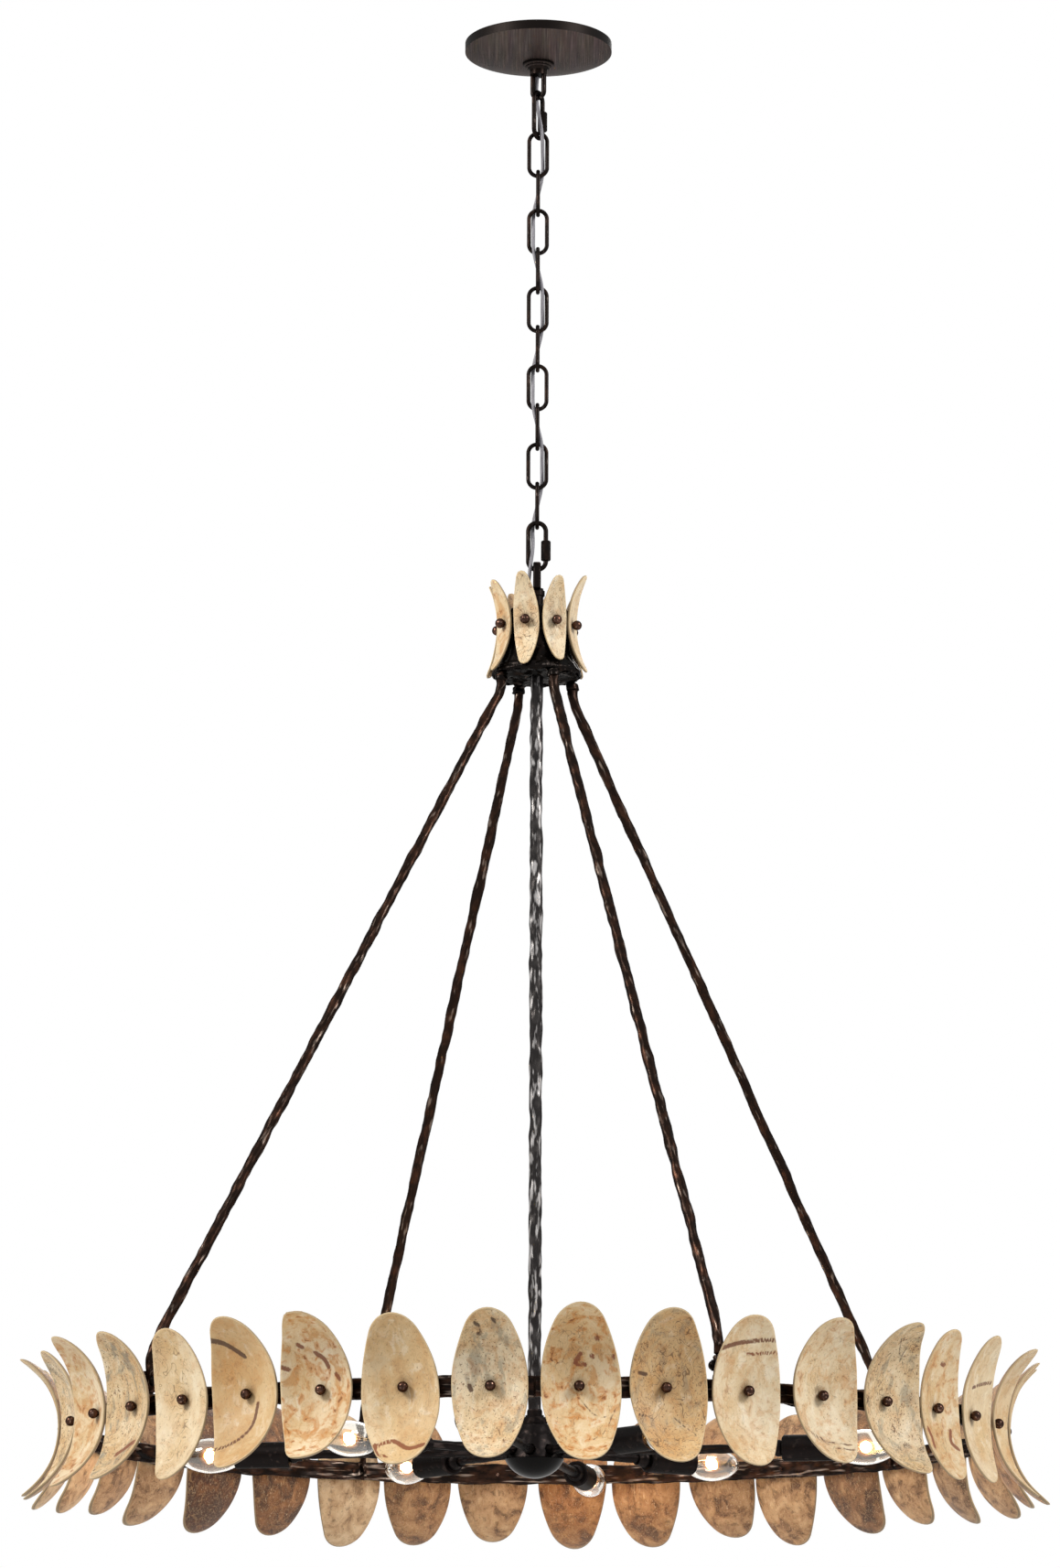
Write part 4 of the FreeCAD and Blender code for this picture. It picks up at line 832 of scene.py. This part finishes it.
# Each has a rim that wanders by a share of its size, a face that swells a little away from its
# screw, and its own place in the noise
outline_steps = 4000
rim_waves = (0.006, 0.005, 0.004, 0.003)
rim_wander = 0.009
rim_cut = 1.5
hole_play = 0.2
swell_size = 34.0
swell_depth = 0.55
swell_sink = 0.25
swell_start = 8
swell_full = 26
equator_share = 0.985
streak_reach = 12.0
noise_apart = 7.3
grain_apart = 300.0
petal_seed = 51


def oval_outline(length, width, end_share, count):
    # The part's oval of four tangent arcs, as points about the origin
    half_length, half_width = length / 2, width / 2
    end_radius = end_share * half_width
    end_centre = half_length - end_radius
    side_radius = ((half_width**2 + end_centre**2 - end_radius**2)
                   / (2 * (half_width - end_radius)))
    side_centre = half_width - side_radius
    reach = side_radius / (side_radius - end_radius)
    join_z = end_centre * reach
    outline = []
    for step in range(outline_steps):
        turn = 2 * math.pi * step / outline_steps
        heading = np.array([math.sin(turn), math.cos(turn)])
        # The ray from the middle meets either the end's arc or the side's arc
        ahead = abs(heading[1]) * end_centre
        hit = ahead + math.sqrt(max(ahead**2 - end_centre**2 + end_radius**2, 0))
        if abs(heading[1]) * hit < join_z:
            ahead = abs(heading[0]) * side_centre
            hit = ahead + math.sqrt(ahead**2 - side_centre**2 + side_radius**2)
        outline.append(heading * hit)
    outline = np.array(outline)
    steps = np.linalg.norm(np.roll(outline, -1, 0) - outline, axis=1)
    runs = np.concatenate([[0], np.cumsum(steps)])[:-1]
    wanted = np.arange(count) / count * steps.sum()
    return np.stack([np.interp(wanted, runs, outline[:, k]) for k in range(2)], 1)


def stroke_distance(spots, strokes, half_width, half_length):
    # For each spot (across, up), how far it is outside the nearest streak, and its redness
    best = np.full(len(spots), streak_reach)
    redness = np.zeros(len(spots))
    for stroke in strokes:
        width, red = stroke[-2:]
        line = smooth_line([(x / 100 * half_width, z / 100 * half_length)
                            for x, z in stroke[:-2]], 8)
        for start, end in zip(line, line[1:]):
            run = end - start
            share = np.clip((spots - start) @ run / (run @ run), 0, 1)
            away = np.linalg.norm(spots - start - share[:, None] * run, axis=1) - width / 2
            nearer = away < best
            best[nearer] = away[nearer]
            redness[nearer] = red
    return best, redness


def coconut_piece(curve, length, width, end_share, back, level, lean, roll, side_turn, azimuth,
                  seed, looks, strokes, around, rings):
    # One piece of shell as a grid from its screw hole to its rim, over the back, round the
    # rim and in over the hollow side, with what its material reads at each point
    outline = oval_outline(length, width, end_share, around)
    turn = rotation("Y", roll)
    flat = np.stack([outline[:, 0], np.zeros(around), outline[:, 1]], 1) @ turn.T
    lie = rotation("X", lean) @ rotation("Z", side_turn)
    screw = lie.T @ np.array([0, 1.0, 0]) * curve
    hole = stud_radius + hole_play
    rng = np.random.default_rng(seed)
    waves = rng.uniform(-1, 1, (len(rim_waves), 2)) * np.array(rim_waves)[:, None]
    turns = np.arctan2(flat[:, 0] - screw[0], flat[:, 2] - screw[2])
    wobble = sum(waves[k, 0] * np.sin((k + 2) * turns) + waves[k, 1] * np.cos((k + 2) * turns)
                 for k in range(len(rim_waves)))
    rim_scale = 1 - rim_wander + np.clip(wobble, -rim_wander, rim_wander)
    rays = flat[:, [0, 2]] * rim_scale[:, None] - screw[[0, 2]]
    lengths = np.linalg.norm(rays, axis=1)
    shares = np.linspace(0, 1, rings) ** 0.9
    rim_overhang = 0.5 * shell_thickness / curve
    edge = rim_cut / lengths.mean()
    # Each row's share of the way out, its depth from the back, how much it is the back and how
    # near the rim it is
    profile = [(share * (1 - edge), 0.0, 1.0, share) for share in shares]
    profile += [(1 - 0.3 * edge, 0.1, 0.8, 1.0), (1.0, 0.35, 0.5, 1.0), (1.0, 0.65, 0.5, 1.0),
                (1 - 0.3 * edge, 0.9, 0.2, 1.0)]
    profile += [(share * (1 - edge), 1.0, 0.0, share) for share in shares[::-1]]
    points, spots, rims, backs, screw_ways = [], [], [], [], []
    for share, depth, backness, rimness in profile:
        # The hollow side's edge is where the solid has it; the back's edge stands a little
        # further out, so that the rim is cut more squarely than the solid's
        reach = hole / lengths + share * (1 - hole / lengths)
        reach = reach * (1 + rim_overhang * (1 - depth) * share)
        across = screw[0] + rays[:, 0] * reach
        up = screw[2] + rays[:, 1] * reach
        away = np.hypot(across - screw[0], up - screw[2])
        swell = np.array([noise.noise(Vector((x / swell_size, z / swell_size, seed * noise_apart)))
                          for x, z in zip(across, up)])
        swell = (swell_depth * swell - swell_sink) * smooth_step(away, swell_start, swell_full)
        radius = curve - depth * shell_thickness + swell
        # A disc as long as its ball is wide stops just short of the ball's equator
        held = np.minimum(1, equator_share * radius / np.hypot(across, up))
        across, up = across * held, up * held
        drop = np.sqrt(radius**2 - across**2 - up**2)
        points.append(np.stack([across, drop, up], 1))
        spots.append(np.stack([across, up], 1))
        screw_ways.append(away)
        rims.append(np.full(around, 1.0 if 0 < depth < 1 else 0.5 * rimness**14))
        backs.append(np.full(around, backness))
    points, spots = np.concatenate(points), np.concatenate(spots)
    faces = []
    rows = len(profile)
    for row in range(rows):
        following = (row + 1) % rows
        for step in range(around):
            after = (step + 1) % around
            faces.append((row * around + step, following * around + step,
                          following * around + after, row * around + after))
    unrolled = np.stack([spots[:, 0], np.zeros(len(spots)), spots[:, 1]], 1) @ turn
    away, redness = stroke_distance(unrolled[:, [0, 2]], strokes, width / 2, length / 2)
    made = {"grain_place": (points + np.array([grain_apart * seed, 0, 0])) * MM,
            "shell_looks": np.tile(np.array(looks[:4]) / 100, (len(points), 1)),
            "back_darkness": np.full(len(points), looks[4] / 100),
            "shell_back": np.concatenate(backs), "shell_rim": np.concatenate(rims),
            "screw_distance": np.concatenate(screw_ways),
            "streak_distance": away, "streak_redness": redness}
    laid = points @ lie.T + np.array([0, -back - curve, level])
    return laid @ rotation("Z", azimuth).T, faces, made


def shell_group(name, pieces, node):
    points, faces = joined([piece[:2] for piece in pieces])
    mesh = mesh_of(name, points, faces)
    keep_values(mesh, {key: np.concatenate([made[key] for _, _, made in pieces])
                       for key in pieces[0][2]})
    piece_of(mesh, shell_material, "fixture", (node,))


def disc(number):
    return coconut_piece(
        disc_curve * disc_curve_shares[number], disc_length * disc_length_shares[number],
        disc_width * disc_width_shares[number], disc_end_share, disc_back, ring_level,
        disc_leans[number], disc_rolls[number], disc_side_turns[number],
        360 / disc_count * (number + 0.5), number + 1, disc_looks[number],
        disc_streaks.get(number, []), around=88, rings=20)


def petal(number):
    return coconut_piece(
        petal_curve, petal_length * petal_length_shares[number], petal_width, petal_end_share,
        petal_back, petal_screw, petal_leans[number], petal_rolls[number], 0,
        360 / petal_count * (number + 0.5) + petal_turn, number + petal_seed, petal_looks[number],
        [], around=56, rings=10)


in_quarter = disc_count // 4
for quarter, side in enumerate(("front_right", "back_right", "back_left", "front_left")):
    shell_group("coconut_discs_" + side,
                [disc(in_quarter * quarter + place) for place in range(in_quarter)],
                "ring_shells_" + side)
shell_group("coconut_petals", [petal(number) for number in range(petal_count)], "hub_petals")


# Hammered metal

# How far apart in the noise the rods, their short flats and the hoop's bites are
rods_apart = 100
flats_apart = 700
bites_apart = 500


def even_mesh(node, voxel):
    rough = placed(node + "_rough", frame["nodes"][node].data.copy())
    cells = rough.modifiers.new("cells", "REMESH")
    cells.mode = "VOXEL"
    cells.voxel_size = voxel * MM
    seen = bpy.context.evaluated_depsgraph_get()
    mesh = bpy.data.meshes.new_from_object(rough.evaluated_get(seen))
    bpy.data.objects.remove(rough)
    mesh.shade_smooth()
    return mesh


def hammered(name, node, voxel, laid, dents, material):
    # The solid is meshed evenly and its skin is dented. laid gives each point's place with Z
    # along the work, and dents how far a point there moves out along its normal, both in mm.
    mesh = even_mesh(node, voxel)
    points = np.zeros(len(mesh.vertices) * 3)
    mesh.vertices.foreach_get("co", points)
    points = points.reshape(-1, 3) / MM
    normals = np.array([vertex.normal[:] for vertex in mesh.vertices])
    places = laid(points)
    points = points + normals * dents(places, normals)[:, None]
    mesh.vertices.foreach_set("co", (points * MM).ravel())
    mesh.update()
    mesh.name = name
    keep_values(mesh, {"forging_place": places * MM})
    piece_of(mesh, material, "fixture", (node,))


def along_rod(azimuth, lean):
    def laid(points):
        return (points @ rotation("Z", -azimuth).T @ rotation("X", lean).T
                + rods_apart * azimuth)
    return laid


def along_hoop(points):
    turn = np.arctan2(points[:, 0], points[:, 1])
    return np.stack([np.hypot(points[:, 0], points[:, 1]), points[:, 2], turn * ring_radius], 1)


def along_arm(points):
    turn = np.arctan2(points[:, 0], points[:, 1])
    return np.stack([turn * arm_middle, points[:, 2], np.hypot(points[:, 0], points[:, 1])], 1)


def as_cast(points):
    return points


def rod_dents(places, normals):
    # Long flats from the hammer, crossed by short ones
    return (0.25 + 1.3 * noise_at(places, 7.0, 26.0)
            + 0.8 * noise_at(places + flats_apart, 4.0, 11.0))


def hoop_dents(places, normals):
    # Drawn-out ripples along the inner face and the edges; the outer face stays nearly flat
    turn = places[:, 2] / ring_radius
    facing_out = normals[:, 0] * np.sin(turn) + normals[:, 1] * np.cos(turn)
    ripples = noise_at(places, 5.0, 30.0)
    bites = noise_at(places + bites_apart, 6.5, 14.0)
    rough = -0.3 + 2.0 * ripples + 1.0 * bites
    flat = -0.15 + 0.15 * bites
    share = smooth_step(facing_out, 0.2, 0.7)
    return rough * (1 - share) + flat * share


def lump_dents(across, along, depth):
    # Lumps of this size and depth, most of them sunk a little
    def dents(places, normals):
        return depth * (noise_at(places, across, along) - 0.4)
    return dents


for number, azimuth in enumerate(rod_azimuths):
    hammered("hammered_rod_" + str(number + 1), "support_rod_" + str(number + 1), 1.6,
             along_rod(azimuth, rod_lean), rod_dents, hammered_bronze)
for name, node, voxel, laid, dents, finish, slot in (
        ("forged_hub", "hub_casting", 1.4, as_cast, lump_dents(9, 15, 2.4), cast_iron,
         "dark_iron"),
        ("forged_hub_base", "hub_base", 1.4, as_cast, lump_dents(10, 10, 3.2), cast_iron,
         "dark_iron"),
        ("hammered_stem", "centre_stem", 1.6, along_rod(0, 0), rod_dents, hammered_steel,
         "dark_iron"),
        ("hammered_hoop", "ring_band", 2.0, along_hoop, hoop_dents, hoop_bronze, "dark_iron"),
        ("hammered_arms_long", "lamp_arms_long", 1.2, along_arm, lump_dents(4, 12, 0.6), arm_black,
         "black_iron"),
        ("hammered_arms_short", "lamp_arms_short", 1.2, along_arm, lump_dents(4, 12, 0.6),
         arm_black, "black_iron"),
        ("hammered_lamp_bell", "lamp_bell", 1.1, as_cast, lump_dents(6, 6, 0.5), lamp_black,
         "black_iron")):
    hammered(name, node, voxel, laid, dents, finish)


# Bulbs, each made along +Z from its socket's mouth

coupling_knob_length = 8.0
cup_length = 55.0
mouth_long = 239.0 + coupling_knob_length + cup_length
mouth_short = 131.0 + coupling_knob_length + cup_length
long_arm_turn = -10
short_arm_turn = 36
glass_wall = 0.8
tip_radius = 0.02
bulb_outline = [(6.1, -21.0), (6.4, -17.0), (7.8, -12.0), (11.4, 0.0), (15.4, 11.0), (17.4, 24.5),
                (16.6, 34.5), (14.2, 43.0), (10.9, 50.3), (7.0, 56.2), (3.6, 58.9)]
bulb_tip = 60.0
mount_outline = [(4.6, -21.0), (4.2, -14.0), (2.6, -6.0), (2.0, 2.0), (2.3, 5.0), (1.2, 7.5)]
thread_pitch = 3.2
coil_height = 27.0
coil_half = 7.0
bulb_glow_radius = 6.0
coil_radius = 2.1
coil_turns = 9
coil_steps = 144
coil_sag = 1.5
coil_thickness = 0.8
lead_radius = 0.3
hook_radius = 0.25
wire_sides = 8
gas_radius = 13.0
gas_steps = 16
bulb_power = 0.4


def cap_outline():
    outline = [(2.2, -43.0), (2.6, -42.2), (2.9, -41.6), (5.2, -40.4)]
    for turn in range(5):
        outline += [(radius, height + thread_pitch * turn)
                    for radius, height in ((5.45, -39.8), (5.95, -38.6), (5.95, -38.0))]
    return outline + [(5.6, -24.2), (6.25, -23.4), (6.25, -21.1)]


def filament_leads():
    # Two leads that hold the coil across the axis, and a hook that holds its middle
    wires = []
    for side in (-1, 1):
        line = smooth_line([(side * 0.8, 0, 3.0), (side * 2.4, 0, 9.0),
                            (side * (coil_half - 1), 0, 17.0), (side * coil_half, 0, coil_height)],
                           4)
        wires.append(sweep(line, lead_radius, wire_sides))
    wires.append(sweep([(0, 0, 6.0), (0, 0, 14.0), (0, 0, coil_height + 1.2)], hook_radius,
                       wire_sides))
    return joined(wires)


def filament_coil():
    coil = []
    for step in range(coil_steps + 1):
        share = step / coil_steps
        turn = 2 * math.pi * coil_turns * share
        sag = coil_sag * (1 - abs(2 * share - 1))
        coil.append((coil_half * (2 * share - 1), coil_radius * math.cos(turn),
                     coil_height + sag + coil_radius * math.sin(turn)))
    return sweep(coil, coil_thickness, wire_sides)


def make_bulb(number, mouth, azimuth, coil_turn):
    body = "bulb_" + str(number)

    def lay(part, shape, material, stands_for=(), spin=0):
        points = np.array(shape[0]) @ rotation("Z", spin).T + np.array([0, 0, mouth])
        mesh = mesh_of(body + part, outward(points, lamp_level, azimuth), shape[1])
        piece_of(mesh, material, body, stands_for)

    outside = [tuple(point) for point in smooth_line(bulb_outline, 4)] + [(tip_radius, bulb_tip)]
    # The wall is measured along the axis too where the glass closes towards its tip
    inside = [(max(radius - glass_wall, tip_radius),
               height - (glass_wall if radius < 8 and height > 0 else 0))
              for radius, height in outside]
    ball = [(max(gas_radius * math.sin(math.pi * step / gas_steps), tip_radius),
             coil_height - gas_radius * math.cos(math.pi * step / gas_steps))
            for step in range(gas_steps + 1)]
    lay("_glass", turned(outside + inside[::-1], 40, closed=True), bulb_glass,
        (body,))
    lay("_cap", turned(cap_outline(), 32), brass_screw)
    lay("_mount", turned(mount_outline, 20), bulb_glass)
    lay("_wires", filament_leads(), support_wire, spin=coil_turn)
    lay("_filament", filament_coil(), filament_glow, spin=coil_turn)
    # The gas ball carries a painted glow round the filament
    lay("_gas", turned(ball, 24), gas_painted_glow)

    data = bpy.data.lights.new(body + "_light", "POINT")
    data.energy = bulb_power
    data.color = linear("FFC98A")[:3]
    data.shadow_soft_size = bulb_glow_radius * MM
    lamp = placed(body + "_light", data)
    lamp.parent = frame["bodies"][body]
    lamp.location = Vector(outward([(0, 0, mouth + coil_height)], lamp_level, azimuth)[0]) * MM


# Each coil stands at its own turn
for place in range(4):
    make_bulb(place + 1, mouth_long, long_arm_turn + 90 * place, 25 * place + 10)
    make_bulb(place + 5, mouth_short, short_arm_turn + 90 * place, 70 - 35 * place)
